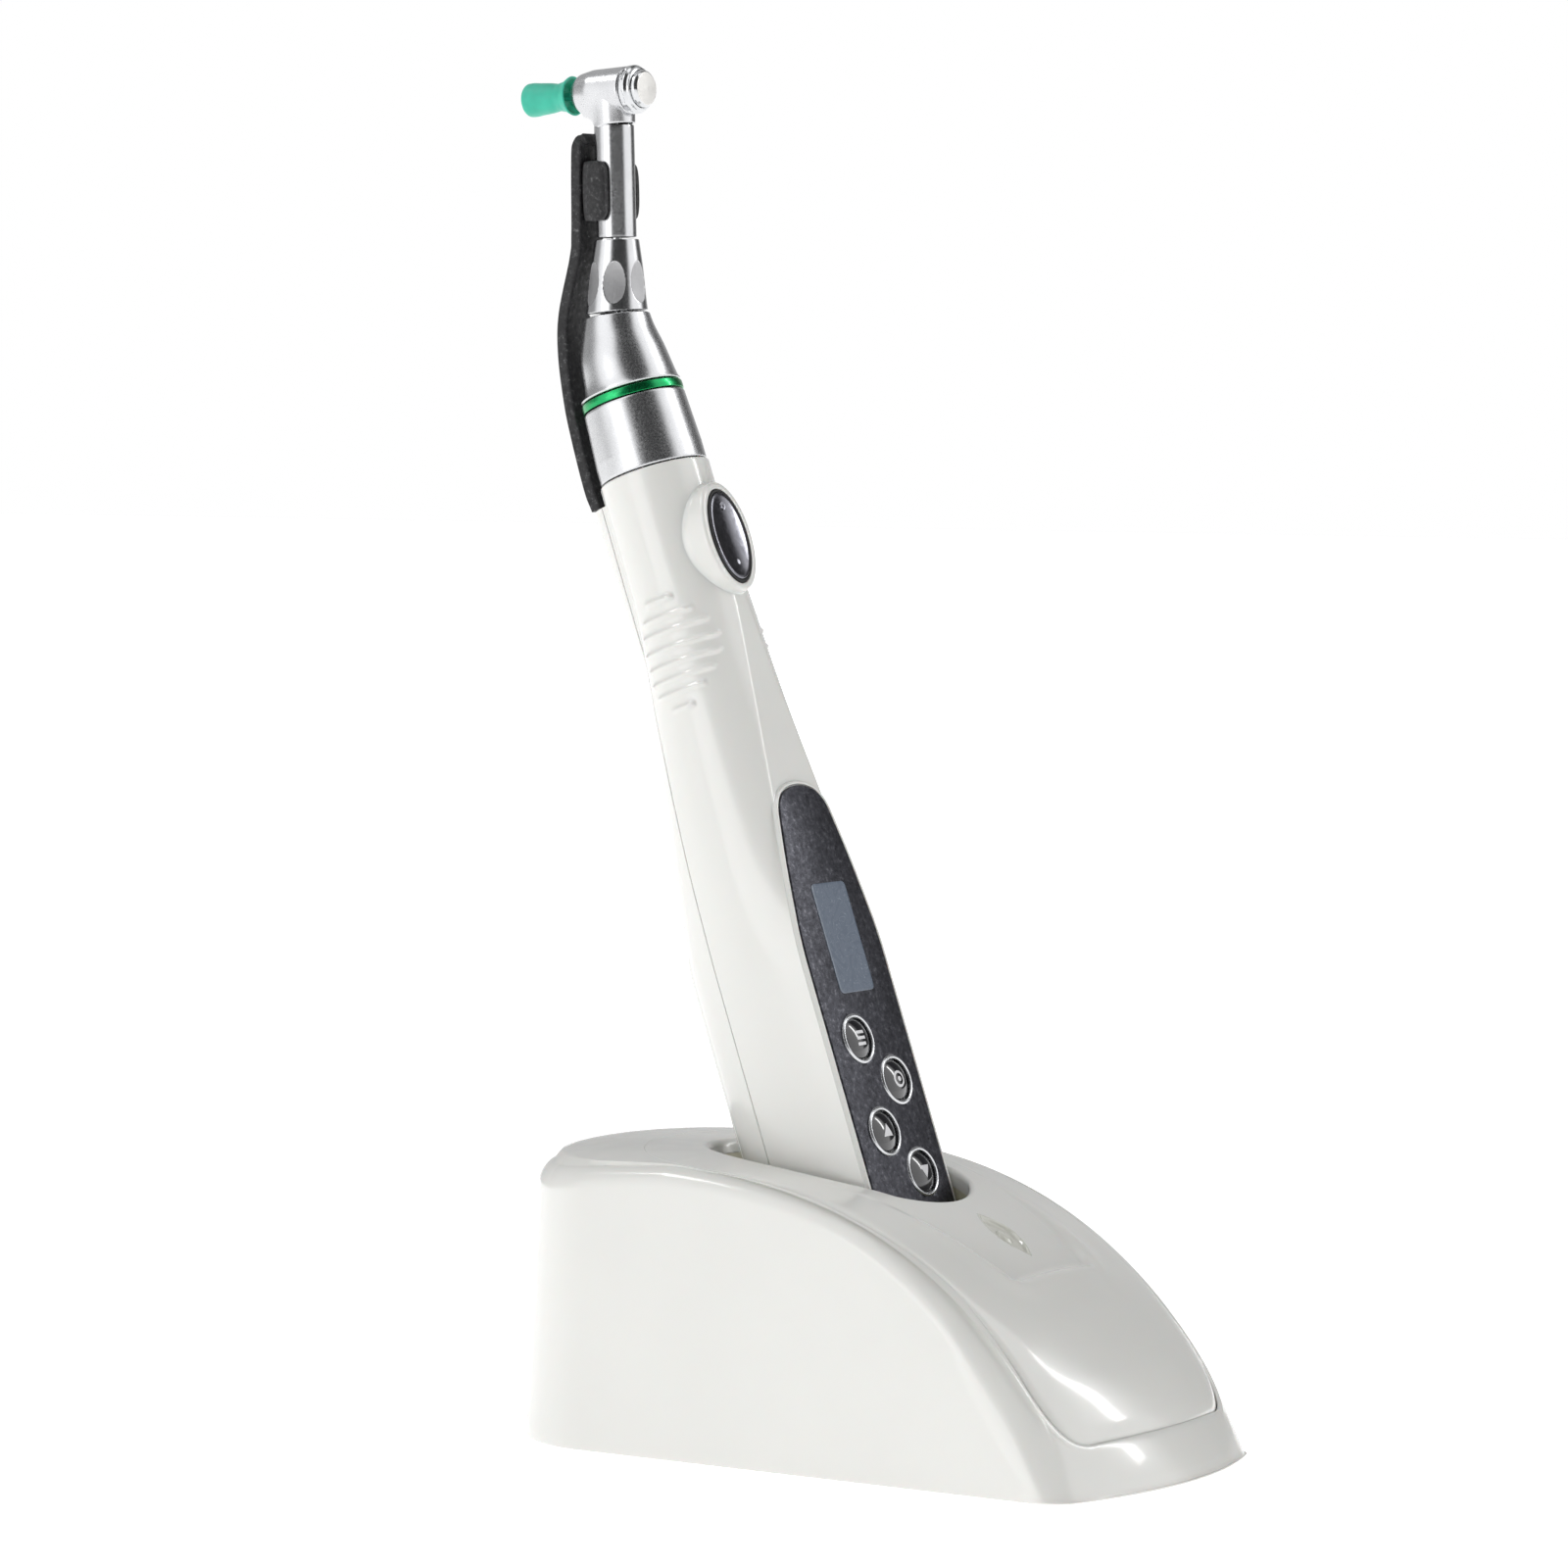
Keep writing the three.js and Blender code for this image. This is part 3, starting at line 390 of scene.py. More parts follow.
def board_shade():
    """Solder mask over faint copper tracks."""
    shade = Shade("solder_mask", (0.01, 0.11, 0.045), 0.35, 0.0, Coat_Weight=0.3)
    shade.paint(shade.cells(0.35), [
        (0.0, (0.03, 0.2, 0.08)), (0.35, (0.01, 0.1, 0.04)), (1.0, (0.008, 0.075, 0.03)),
    ])
    return shade.bump(shade.cells(0.35), 0.03, 0.5)


def silicone_shade():
    shade = Shade(
        "teal_rubber", (0.03, 0.47, 0.33), 0.48, 0.0,
        Subsurface_Weight=0.2, Subsurface_Scale=0.002, Subsurface_Radius=(0.3, 1.0, 0.7),
        Sheen_Weight=0.15,
    )
    shade.paint(shade.noise(0.35, 4), [(0.3, (0.026, 0.43, 0.3)), (0.7, (0.036, 0.52, 0.37))])
    shade.gloss(shade.noise(1.4, 4), 0.3, 0.7, 0.4, 0.6)
    return shade.bump(shade.noise(2.2, 5), 0.012, 0.6)


SHADES = {
    "white_plastic": moulded(
        "warm_white_gloss", (0.742, 0.742, 0.715), 0.2, 1.2, 0.006,
        Coat_Weight=0.5, Coat_Roughness=0.07, Subsurface_Weight=0.06, Subsurface_Scale=0.002,
    ),
    "socket_plastic": moulded("socket_cream", (0.58, 0.56, 0.43), 0.42, 2.0, 0.01),
    "black_plastic": moulded("black_moulding", (0.02, 0.02, 0.022), 0.45, 2.5, 0.012),
    "panel": panel_shade(),
    "silver_trim": machined("silver_trim", (0.63, 0.64, 0.66), 0.24, 2.4, 0.004),
    "black_gloss": moulded(
        "black_dome", (0.008, 0.008, 0.011), 0.1, 0.9, 0.003, Coat_Weight=1.0, Coat_Roughness=0.04,
    ),
    "screen_glass": screen_shade(),
    "clear_plastic": moulded(
        "clear_lens", (0.74, 0.74, 0.67), 0.1, 0.8, 0.01, Transmission_Weight=0.12, Coat_Weight=1.0,
    ),
    "satin_steel": machined("satin_steel", (0.63, 0.635, 0.65), 0.27, 3.0, 0.006),
    "polished_steel": machined("polished_steel", (0.66, 0.67, 0.685), 0.17, 3.0, 0.004),
    "frosted_steel": machined("frosted_steel", (0.74, 0.73, 0.71), 0.46, 3.4, 0.03),
    "green_ring": machined("green_anodised", (0.01, 0.36, 0.11), 0.26, 3.0, 0.006, Coat_Weight=0.4),
    "teal_silicone": silicone_shade(),
    "charcoal": charcoal_shade(),
    "rubber": moulded("black_rubber", (0.018, 0.018, 0.018), 0.75, 1.6, 0.03),
    "circuit_board": board_shade(),
    "contact_gold": machined("contact_gold", (0.83, 0.6, 0.22), 0.22, 3.0, 0.006),
    "cell_wrap": moulded("cell_wrap", (0.06, 0.14, 0.36), 0.35, 0.6, 0.03, Coat_Weight=0.4),
}
FINISH = {slot: shade.material for slot, shade in SHADES.items()}
# Materials that a few pieces wear instead of their slot's own
DARK_CHROME = dark_chrome_shade().material
SATIN_NECK = machined("satin_neck", (0.63, 0.635, 0.65), 0.2, 3.0, 0.006).material
GROUND_STEEL = machined("ground_steel", (0.47, 0.47, 0.48), 0.48, 3.4, 0.03).material
PRINTED_SILVER = moulded("printed_silver", (0.74, 0.74, 0.76), 0.42, 3.0, 0.004).material


# ---- the grip's sections -------------------------------------------------------------------

GRIP_LENGTH = 165.0
NECK_RADIUS = 10.9
SPLIT = -9.3  # where the front and rear shells meet
SEAM = 0.028  # half the seam between the two shells
SEAM_LIP = {"depth": 0.3, "round": 0.12, "ease": 0.1}
# By height: half the flat front's width, half the grip's width, and its depth back and forward
FLAT_HALF = softened([(66, 13.6), (98, 8.1), (118, 4.6), (136, 1.5), (144, 1)], 3)
SIDE_HALF = softened([
    (70, 14.5), (84, 14.3), (91, 14), (108, 13), (115, 12.5), (127, 12), (140, NECK_RADIUS),
], 3)
BACK_DEPTH = softened([
    (69, 21.8), (84.5, 19.4), (90.7, 18.4), (108, 15), (115.5, 13.7), (127, 11.8), (140, NECK_RADIUS),
], 1.8)
FRONT_DEPTH = softened([(136, 11.4), (144, NECK_RADIUS)], 1.5)
HUMP = {"low": 127.0, "top": 161.3, "half": 7.4, "base": -7.9}
HUMP_BACK = softened([(127, 10.6), (129, 11.5), (132, 12.5), (146.8, 13.6), (161.3, 14.3)], 1.2, 0.25, 6)
# Each rib's height on the grip, and how far back and forward it runs
RIBS = [
    (139.4, -3.2, 3.2), (136.1, -5.3, 6.4), (133.2, -6.9, 8.3), (129.9, -7.5, 9.2),
    (126.8, -7.3, 9.0), (123.9, -7.2, 7.8), (121.2, -6.0, 5.6), (118.0, -2.5, 2.5),
]
RIB = {"height": 0.42, "spread": 0.55}
FOOT_ROUND = 1.6
TOP_ROUND = 0.35
COVER = {
    "low": 14.2, "high": 73.8, "half": 7.85, "flat_half": 7.55, "corner": 1.6, "proud": 0.14,
    "sunk": 0.25,
}
PANEL = {"half": 13.0, "low": 5.0, "back": 11.0, "front": 12.1, "crown": 0.42, "well": 1.3, "edge": 0.6}
PANEL_TAPER = [
    (13, 65), (12.6, 70), (11.2, 79), (10.3, 84), (9.3, 88.5), (8, 94), (6, 96.5), (3, 97.7), (0, 98),
]
SCREEN = {"half": 5.8, "low": 56.4, "high": 78.2}
KEY = {"radius": 3.95, "ring_in": 4.2, "ring_out": 4.95, "back": 9.7, "front": 13.1, "ring_front": 12.75}
KEYS = {"program": (-4.4, 47.4), "select": (4.4, 38.4), "up": (-4.4, 29.0), "down": (4.4, 20.1)}
SWITCH = {"z": 148.1, "long": 8.8, "wide": 5.3, "front": 13.3, "boss_front": 13.0}
CONTACT = {"x": -4.0, "y": 5.5, "hole": 2.65}


def grip_section(z, inset=0.0, count=260):
    """Closed sections of the grip at heights z, from the middle of its front round by +y."""
    face = FRONT_DEPTH(z) - inset
    side = SIDE_HALF(z) - inset
    back = BACK_DEPTH(z) - inset
    flat = np.minimum(FLAT_HALF(z), side - 0.5)
    corner = np.arcsin(flat / side)
    depth = face / np.cos(corner)
    sections = []
    for i in range(len(z)):
        turn = np.linspace(corner[i], np.pi / 2, 80)
        front = np.column_stack([depth[i] * np.cos(turn), side[i] * np.sin(turn)])
        turn = np.linspace(np.pi / 2, np.pi, 160)[1:]
        rear = np.column_stack([back[i] * np.cos(turn), side[i] * np.sin(turn)])
        half = np.vstack([[face[i], 0], front, rear])
        half[-1, 1] = 0
        if HUMP["low"] < z[i] < HUMP["top"]:
            half = with_hump(half, z[i])
        sections.append(resampled(mirrored_loop(half), count * 2 - 2, closed=True))
    return np.array(sections)


def with_hump(half, z):
    """Raises the back of a section to the hump that carries the bracket's foot."""
    across, aside = half[:, 0], half[:, 1]
    depth = HUMP_BACK(z) + HUMP["base"]
    share = np.clip(1 - (aside / HUMP["half"]) ** 2.4, 0, 1) ** 0.62
    hump = HUMP["base"] - depth * share
    raised = np.where((across < 0) & (aside < HUMP["half"]), np.minimum(across, hump), across)
    return np.column_stack([raised, aside])


# ---- the dock ------------------------------------------------------------------------------

HALF_WIDTH = DOCK_HIGH.y
NOSE_BOW = 0.00606
PLAN = {"corner_x": 62.0, "corner_y": 31.0, "back_x": -38.0, "back_length": 28.0}
TOP = {
    "crown": 57.6, "crest_x": -43.0, "rim": 0.4, "shoulder_drop": 1.3, "back_drop": 3.75,
    "shoulder_half": 33.0, "shoulder_power": 3.9, "front_power": 3.2, "front_fall": 0.82,
}
DRAFT = math.tan(math.radians(3))
EDGE_RADIUS = 3.0
NOSE_RADIUS = 6.5
SEAM_DEPTH = 1.6
DOCK_BOTTOM = DOCK_LOW.z
DECK = {
    "back_x": -12.0, "back_length": 28.0, "half": 29.7, "nose_x": 71.8, "corner_x": 60.0,
    "corner_y": 21.0, "rise_back": 0.3, "rise_nose": 1.3,
}
# The plane on the deck that carries the lamp. It stands over the deck by its rise at the socket,
# sinks under it by its dip at its front edge, and has a soft brim round that edge.
TONGUE = {
    "back_x": 14.0, "nose_x": 45.5, "back_half": 20.0, "nose_half": 12.2, "rise": 0.4, "dip": 1.5,
    "brim": 0.45,
}
LAMP = {"x": 36.2, "half": 6.2, "side": 6.6, "dip": 2.2}
SOCKET = {
    "floor": -0.8, "oval_from": 20.0, "centre": -1.8, "long": 26.0, "wide": 18.0, "clearance": 1.2,
    "lip": 1.3,
}
MIDDLE = np.array([-1.14, 0.0])  # the socket's middle in the dock's plan
STATIONS = 720


def dock_top(x, y):
    """Height of the dock's top over its plan, without its details."""
    reach = NOSE - NOSE_BOW * y**2 - TOP["crest_x"]
    forward = np.clip((x - TOP["crest_x"]) / reach, 0, 1)
    behind = np.minimum(0, x - PLAN["back_x"]) / (PLAN["back_length"] - 2)
    outward = np.hypot(y / TOP["shoulder_half"], behind)
    back_share = np.clip(-(x + 20) / 30, 0, 1)
    drop = lerp(TOP["shoulder_drop"], TOP["back_drop"], back_share)
    crown = TOP["crown"] - drop * outward ** TOP["shoulder_power"]
    return TOP["rim"] + (crown - TOP["rim"]) * (1 - forward ** TOP["front_power"]) ** TOP["front_fall"]


def plan_loop():
    """The dock's outline at the desk, evenly spaced."""
    y = np.linspace(0, PLAN["corner_y"], 40)
    nose = np.column_stack([NOSE - NOSE_BOW * y**2, y])
    bow_x = NOSE - NOSE_BOW * HALF_WIDTH**2
    corner = bezier2(nose[-1], (bow_x, HALF_WIDTH), (PLAN["corner_x"], HALF_WIDTH), 40)
    angle = np.linspace(np.pi / 2, np.pi, 80)
    back = np.column_stack([
        PLAN["back_x"] + PLAN["back_length"] * np.cos(angle), HALF_WIDTH * np.sin(angle),
    ])
    half = np.vstack([nose, corner[1:], back])
    return resampled(mirrored_loop(half), STATIONS, closed=True)


def deck_loop():
    """The deck's outline in plan."""
    half, nose = DECK["half"], DECK["nose_x"]
    shoulder = (nose - 2.4, DECK["corner_y"])
    front = bezier2((nose, 0), (nose, DECK["corner_y"] / 2), shoulder, 30)
    corner = bezier2(shoulder, (nose - 4, half), (DECK["corner_x"], half), 40)
    angle = np.linspace(np.pi / 2, np.pi, 60)
    back = np.column_stack([
        DECK["back_x"] + DECK["back_length"] * np.cos(angle), half * np.sin(angle),
    ])
    return mirrored_loop(np.vstack([front, corner[1:], back]))


def by_angle(loop, middle, rays, columns):
    """Values along a loop round a middle point, read off at these ray angles."""
    angles = np.unwrap(np.arctan2(loop[:, 1] - middle[1], loop[:, 0] - middle[0]))
    order = np.argsort(angles)
    turn = 2 * np.pi
    wrapped = np.concatenate([angles[order] - turn, angles[order], angles[order] + turn])
    return [np.interp(rays, wrapped, np.tile(column[order], 3)) for column in columns.T]


POCKET_MIDDLE = np.array([SOCKET["centre"], 0])
POCKET_FLOOR = grip_section(np.array([0.0]), -SOCKET["clearance"])[0]


def pocket_point(angle, height):
    """A point of the socket's wall, in the grip's frame: the grip's shape below, an oval above."""
    rise = (height - SOCKET["floor"]) / (SOCKET["oval_from"] - SOCKET["floor"])
    blend = np.clip(rise, 0, 1)
    low_across, low_aside = by_angle(POCKET_FLOOR, POCKET_MIDDLE, angle, POCKET_FLOOR)
    across = lerp(low_across, SOCKET["centre"] + SOCKET["long"] * np.cos(angle), blend)
    aside = lerp(low_aside, SOCKET["wide"] * np.sin(angle), blend)
    return across, aside, height


def grip_to_dock(across, aside, height):
    """Points of the grip's frame in the dock's frame."""
    return np.stack([
        GRIP_FOOT.x + across * GRIP_FACE.x + height * GRIP_AXIS.x,
        aside + 0 * height,
        GRIP_FOOT.z + across * GRIP_FACE.z + height * GRIP_AXIS.z,
    ], axis=-1)


def rim_loop():
    """The socket's mouth on the dock's top: its points, and their angles and heights on the grip."""
    angle = np.arange(STATIONS) * 2 * np.pi / STATIONS
    height = np.full(STATIONS, 25.0)
    for _ in range(30):
        point = grip_to_dock(*pocket_point(angle, height))
        height += 0.6 * (dock_top(point[:, 0], point[:, 1]) - point[:, 2])
    return grip_to_dock(*pocket_point(angle, height)), angle, height


def on_rays(loop, rays):
    """The points where a plane loop round the socket's middle crosses the rays."""
    dense = resampled(loop[:, :2], 3000, closed=True)
    radius = np.linalg.norm(dense - MIDDLE, axis=1)
    distance = by_angle(dense, MIDDLE, rays, radius[:, None])[0]
    return MIDDLE + distance[:, None] * np.column_stack([np.cos(rays), np.sin(rays)])


def tongue_distance(x, y):
    """How far a point of the plan lies outside the tongue, or inside it as a negative number."""
    run = TONGUE["nose_x"] - TONGUE["back_x"]
    fall = TONGUE["back_half"] - TONGUE["nose_half"]
    slant = math.hypot(run, fall)
    side = (np.abs(y) - TONGUE["back_half"] + fall * (x - TONGUE["back_x"]) / run) * run / slant
    front = x - TONGUE["nose_x"]
    outside = np.hypot(np.maximum(side, 0), np.maximum(front, 0))
    return np.where((side > 0) | (front > 0), outside, np.maximum(side, front))


def tongue_share(x):
    """How far along the tongue x lies, from 0 at the socket to 1 at its front edge."""
    return np.clip((x - TONGUE["back_x"]) / (TONGUE["nose_x"] - TONGUE["back_x"]), 0, 1)


def tongue_lift(x):
    """How far the tongue stands over the deck at the socket, or lies under it at its front."""
    lift = TONGUE["rise"] - (TONGUE["rise"] + TONGUE["dip"]) * tongue_share(x)
    return smoothstep(-6, 8, x - TONGUE["back_x"]) * lift


def lamp_inside(x, y):
    """How far a point of the plan lies inside the lamp's leaf, across it."""
    along = np.clip(np.abs(x - LAMP["x"]) / LAMP["half"], 0, 1)
    return LAMP["side"] / 2 * (1 - along**2) - np.abs(y)


def deck_detail(x, y, inside):
    """What the deck's swell, tongue and lamp add to its height, inside being the way in from the seam."""
    front = smoothstep(-14, 24, x)
    nose = smoothstep(40, 68, x)
    edge = np.clip(inside / (4.5 * nose + 2.2), 0, 1)
    swell = lerp(DECK["rise_back"], DECK["rise_nose"], nose) * (1 - (1 - edge) ** 2)
    rise = front * (swell - DECK["rise_back"])
    rise = rise + DECK["rise_back"] * front * smoothstep(0, 1.2, inside)
    share = tongue_share(x)
    distance = tongue_distance(x, y) / lerp(1.2, 3.4, share)
    rise = rise + tongue_lift(x) * (1 - smoothstep(0, 1, distance))
    brim = TONGUE["brim"] * smoothstep(0.3, 1, share)
    rise = rise + brim * np.exp(-(((distance - 1.1) / 0.7) ** 2))
    return rise - LAMP["dip"] * smoothstep(0.25, 0.75, lamp_inside(x, y))


def dock_rings():
    """The loops that the dock's surfaces run between, all on the same rays."""
    plan = plan_loop()
    rays = np.arctan2(plan[:, 1] - MIDDLE[1], plan[:, 0] - MIDDLE[0])
    deck = on_rays(deck_loop(), rays)
    rim_points, angles, heights = rim_loop()
    rim = on_rays(rim_points, rays)
    columns = np.column_stack([np.cos(angles), np.sin(angles), heights])
    cosine, sine, height = by_angle(rim_points, MIDDLE, rays, columns)
    return plan, deck, rim, np.arctan2(sine, cosine), height


PLAN_LOOP, DECK_LOOP, RIM_LOOP, RIM_ANGLE, RIM_HEIGHT = dock_rings()
PLAN_OUT, DECK_OUT = outward_normals(PLAN_LOOP), outward_normals(DECK_LOOP)


def with_height(plan, height):
    return np.column_stack([plan, height])


def from_middle(loop):
    return np.linalg.norm(loop - MIDDLE, axis=1)


def seam_sizes(lip):
    """Half the seam's gap and its lip round the deck. Behind the socket the seam is a hairline."""
    open_share = smoothstep(-22, 10, DECK_LOOP[:, 0])
    return 0.02 + 0.09 * open_share, 0.04 + lip * open_share


def corners_softened(rings, first, last):
    """Relaxes the shell's two nose corners, between the foot and the seam."""
    for _ in range(60):
        part = rings[first:last]
        around = (np.roll(part, 1, axis=1) + np.roll(part, -1, axis=1)) / 2
        above = (rings[first - 1 : last - 1] + rings[first + 1 : last + 1]) / 2
        weight = smoothstep(44, 60, part[..., 0]) * smoothstep(20, 29, np.abs(part[..., 1]))
        rings[first:last] = lerp(part, (around + above) / 2, weight[..., None])
    return rings


def shell_rings():
    """The dock's shell, from under its foot up over its shoulder to the seam."""
    rings = []
    foot = rounded([(3.2, DOCK_BOTTOM, 0), (0, DOCK_BOTTOM, 0.25), (0, DOCK_BOTTOM + 1, 0)], 5)
    for inset, height in foot[:-1]:
        rings.append(with_height(PLAN_LOOP - PLAN_OUT * inset, np.full(STATIONS, height)))

    room = from_middle(PLAN_LOOP) - from_middle(DECK_LOOP)
    wide = lerp(EDGE_RADIUS, NOSE_RADIUS, smoothstep(20, 64, PLAN_LOOP[:, 0]))
    radius = np.minimum(wide, np.maximum(EDGE_RADIUS, 0.8 * room - 1))
    radius = lerp(radius, 0.5, smoothstep(0.3, 0.93, PLAN_OUT[:, 0]))

    def shoulder(angle):
        turn_in = radius * (1 - math.cos(angle))
        drop = radius * (1 - math.sin(angle))
        plan = PLAN_LOOP - PLAN_OUT * turn_in[:, None]
        height = np.maximum(dock_top(plan[:, 0], plan[:, 1]) - drop, DOCK_BOTTOM + 0.4)
        lean = PLAN_LOOP - PLAN_OUT * (turn_in + height * DRAFT)[:, None]
        return with_height(lean, height)

    first = shoulder(0)
    for share in np.linspace(0.02, 0.98, 14):
        rings.append(lerp(rings[len(foot) - 2], first, share))
    rings += [shoulder(angle) for angle in np.linspace(0, np.pi / 2, 12)]
    edge = rings[-1][:, :2]
    gap, lip = seam_sizes(1.1)
    lip_start = DECK_LOOP + DECK_OUT * (gap + lip)[:, None]
    for share in 1 - (1 - np.linspace(0.05, 1, 16)) ** 1.5:
        plan = lerp(edge, lip_start, share)
        rings.append(with_height(plan, dock_top(plan[:, 0], plan[:, 1])))
    for angle in np.linspace(0.2, np.pi / 2, 7):
        plan = DECK_LOOP + DECK_OUT * (gap + lip * (1 - math.sin(angle)))[:, None]
        height = dock_top(plan[:, 0], plan[:, 1]) - 0.75 * lip * (1 - math.cos(angle))
        rings.append(with_height(plan, height))
    for depth in (0.6, SEAM_DEPTH):
        rings.append(rings[-1] - [0, 0, depth])
    return corners_softened(np.array(rings), len(foot), len(rings) - 11)


def deck_rings():
    """The deck, from the seam over its details to the socket's mouth and down its wall."""
    gap, lip = seam_sizes(0.8)

    def surface(plan, inside):
        x, y = plan[:, 0], plan[:, 1]
        return with_height(plan, dock_top(x, y) + deck_detail(x, y, inside))

    rings = []
    for angle in np.linspace(np.pi / 2, 0, 6):
        inside = lip * (1 - math.sin(angle))
        plan = DECK_LOOP - DECK_OUT * (gap + inside)[:, None]
        ring = surface(plan, inside)
        ring[:, 2] -= lip * (1 - math.cos(angle))
        rings.append(ring)
    rings.insert(0, rings[0] - [0, 0, SEAM_DEPTH])
    room = np.clip((from_middle(DECK_LOOP) - from_middle(RIM_LOOP) - 3) / 8, 0.12, 1)
    for reach in np.linspace(0.35, 6, 16):
        inside = lip + reach * room
        plan = DECK_LOOP - DECK_OUT * (gap + inside)[:, None]
        rings.append(surface(plan, inside))
    last, inside = rings[-1][:, :2], lip + 6 * room
    outward = outward_normals(RIM_LOOP)
    mouth = RIM_LOOP + outward * SOCKET["lip"]
    for share in np.linspace(0.01, 1, 110):
        plan = lerp(last, mouth, share)
        rings.append(surface(plan, inside + 20 * share))
    for angle in np.linspace(0.15, np.pi / 2, 9):
        plan = RIM_LOOP + outward * SOCKET["lip"] * (1 - math.sin(angle))
        height = RIM_HEIGHT - SOCKET["lip"] * (1 - math.cos(angle))
        wall = grip_to_dock(*pocket_point(RIM_ANGLE, height))
        ring = surface(plan, inside + 20)
        ring[:, 2] += (wall - grip_to_dock(*pocket_point(RIM_ANGLE, RIM_HEIGHT)))[:, 2]
        ring[:, :2] += (wall[:, :2] - RIM_LOOP) * math.sin(angle) ** 2
        rings.append(ring)
    for depth in (2.0, 3.0):
        rings.append(grip_to_dock(*pocket_point(RIM_ANGLE, RIM_HEIGHT - depth)))
    return rings


def build_dock_skin():
    for part, rings in (("shell", shell_rings()), ("deck", deck_rings())):
        skin = Form().skin(rings)
        skin.piece(f"charging_dock_{part}", DOCK_PLACE, "dock", f"dock_{part}", "white_plastic", 50)


def build_socket():
    """The cup that the handpiece stands in, following the pocket down to its floor."""
    rings = []
    for share in np.linspace(0, 1, 48):
        height = lerp(RIM_HEIGHT - 2.8, SOCKET["floor"], share)
        rings.append(np.column_stack(pocket_point(RIM_ANGLE, height)))
    cup = Form().skin(rings, end=True)
    cup.piece("charging_socket", GRIP_PLACE, "dock", "socket_cup", "socket_plastic")


def build_lamp():
    """The lamp's leaf-shaped lens, with its raised rim and the small dome under it."""
    along = np.linspace(-1, 1, 60)
    leaf = mirrored_loop(np.column_stack([LAMP["half"] * along, LAMP["side"] / 2 * (1 - along**2)]))
    rim = [(0.94, -1.0), (1.0, -0.5), (1.0, 0.1), (0.97, 0.3), (0.9, 0.32), (0.84, 0.14), (0.8, -0.2)]
    bowl = [(0.74, -0.4), (0.6, -0.48), (0.4, -0.5), (0.2, -0.5), (0.02, -0.5)]
    rings = []
    for scale, lift in rim + bowl:
        plan = leaf * scale + [LAMP["x"], 0]
        base = dock_top(plan[:, 0], plan[:, 1]) + tongue_lift(plan[:, 0])
        rings.append(with_height(plan, base + lift))
    lens = Form().skin(rings, end=True)
    lens.piece("power_lamp_window", DOCK_PLACE, "dock", "power_lamp_lens", "clear_plastic")
    profile = rounded([(0.01, 0.55, 0), (0.9, 0.5, 0.5), (1.35, 0, 0.4), (1.35, -1.2, 0)], 6)
    dome = turned(profile, 40)
    dome[..., 0] = dome[..., 0] * 1.35 + LAMP["x"]
    dome[..., 2] += dock_top(dome[..., 0], 0) + tongue_lift(dome[..., 0]) - 0.5
    led = Form().skin(dome, start=True)
    led.piece("power_lamp_dome", DOCK_PLACE, "dock", "power_lamp_led", "clear_plastic")


# ---- the handpiece -------------------------------------------------------------------------


def smoothed(sections, spread_points):
    """Rounds each section's corners by averaging along it."""
    reach = int(3 * spread_points)
    offsets = np.arange(-reach, reach + 1)
    weights = np.exp(-0.5 * (offsets / spread_points) ** 2)
    weights /= weights.sum()
    return sum(w * np.roll(sections, o, axis=1) for w, o in zip(weights, offsets))


def rib_height(across, z):
    """How far the finger ribs stand out of the grip's sides."""
    height = 0
    for middle, back, front in RIBS:
        window = smoothstep(back - 1.2, back + 1.6, across)
        window = window * (1 - smoothstep(front - 0.5, front + 0.5, across))
        knob = 1 + 0.5 * np.exp(-(((across - front + 1.2) / 0.8) ** 2))
        ridge = np.exp(-(((z - middle) / RIB["spread"]) ** 2))
        height = height + RIB["height"] * window * knob * ridge
    return height


def grip_heights():
    """The heights of the grip's sections, close together where its shape is fine."""
    low = FOOT_ROUND * (1 - np.cos(np.linspace(0, np.pi / 2, 8)))
    ribs = np.arange(115, 142, 0.2)
    rest = np.concatenate([np.arange(2, 115, 0.75), np.arange(142, GRIP_LENGTH - 0.5, 0.6)])
    top = GRIP_LENGTH - TOP_ROUND * (1 - np.sin(np.linspace(0, np.pi / 2, 5)))
    ledge = [HUMP["top"] - 0.02, HUMP["top"] + 0.02]
    return np.unique(np.round(np.concatenate([low, rest, ribs, top, ledge]), 3))


def grip_surface():
    """The grip's outer surface as sections, with its ribs, rounded foot and rounded top edge."""
    z = grip_heights()
    sections = smoothed(grip_section(z), 1.6)
    normals = np.array([outward_normals(section) for section in sections])
    sections = sections + normals * rib_height(sections[..., 0], z[:, None])[..., None]
    inset = FOOT_ROUND - np.sqrt(np.clip(FOOT_ROUND**2 - (FOOT_ROUND - z) ** 2, 0, None))
    inset = np.where(z < FOOT_ROUND, inset, 0)
    from_top = np.clip(z - (GRIP_LENGTH - TOP_ROUND), 0, TOP_ROUND)
    inset = inset + TOP_ROUND - np.sqrt(np.clip(TOP_ROUND**2 - from_top**2, 0, None))
    return z, sections - normals * inset[:, None, None]


def arc_part(section, low, high, count):
    """The part of a section with low < x < high, from +y to -y, evenly spaced."""
    half = section[: len(section) // 2 + 1]
    across = half[:, 0]
    inside = np.flatnonzero((across > low) & (across < high))
    first, last = inside[0], inside[-1]
    points = [*half[first : last + 1]]
    for i, j, edge in ((first, first - 1, high), (last, last + 1, low)):
        if not 0 <= j < len(half):
            continue
        share = (edge - half[i, 0]) / (half[j, 0] - half[i, 0])
        crossing = lerp(half[i], half[j], share)
        if edge == high:
            points.insert(0, crossing)
        else:
            points.append(crossing)
    return resampled(points, count)


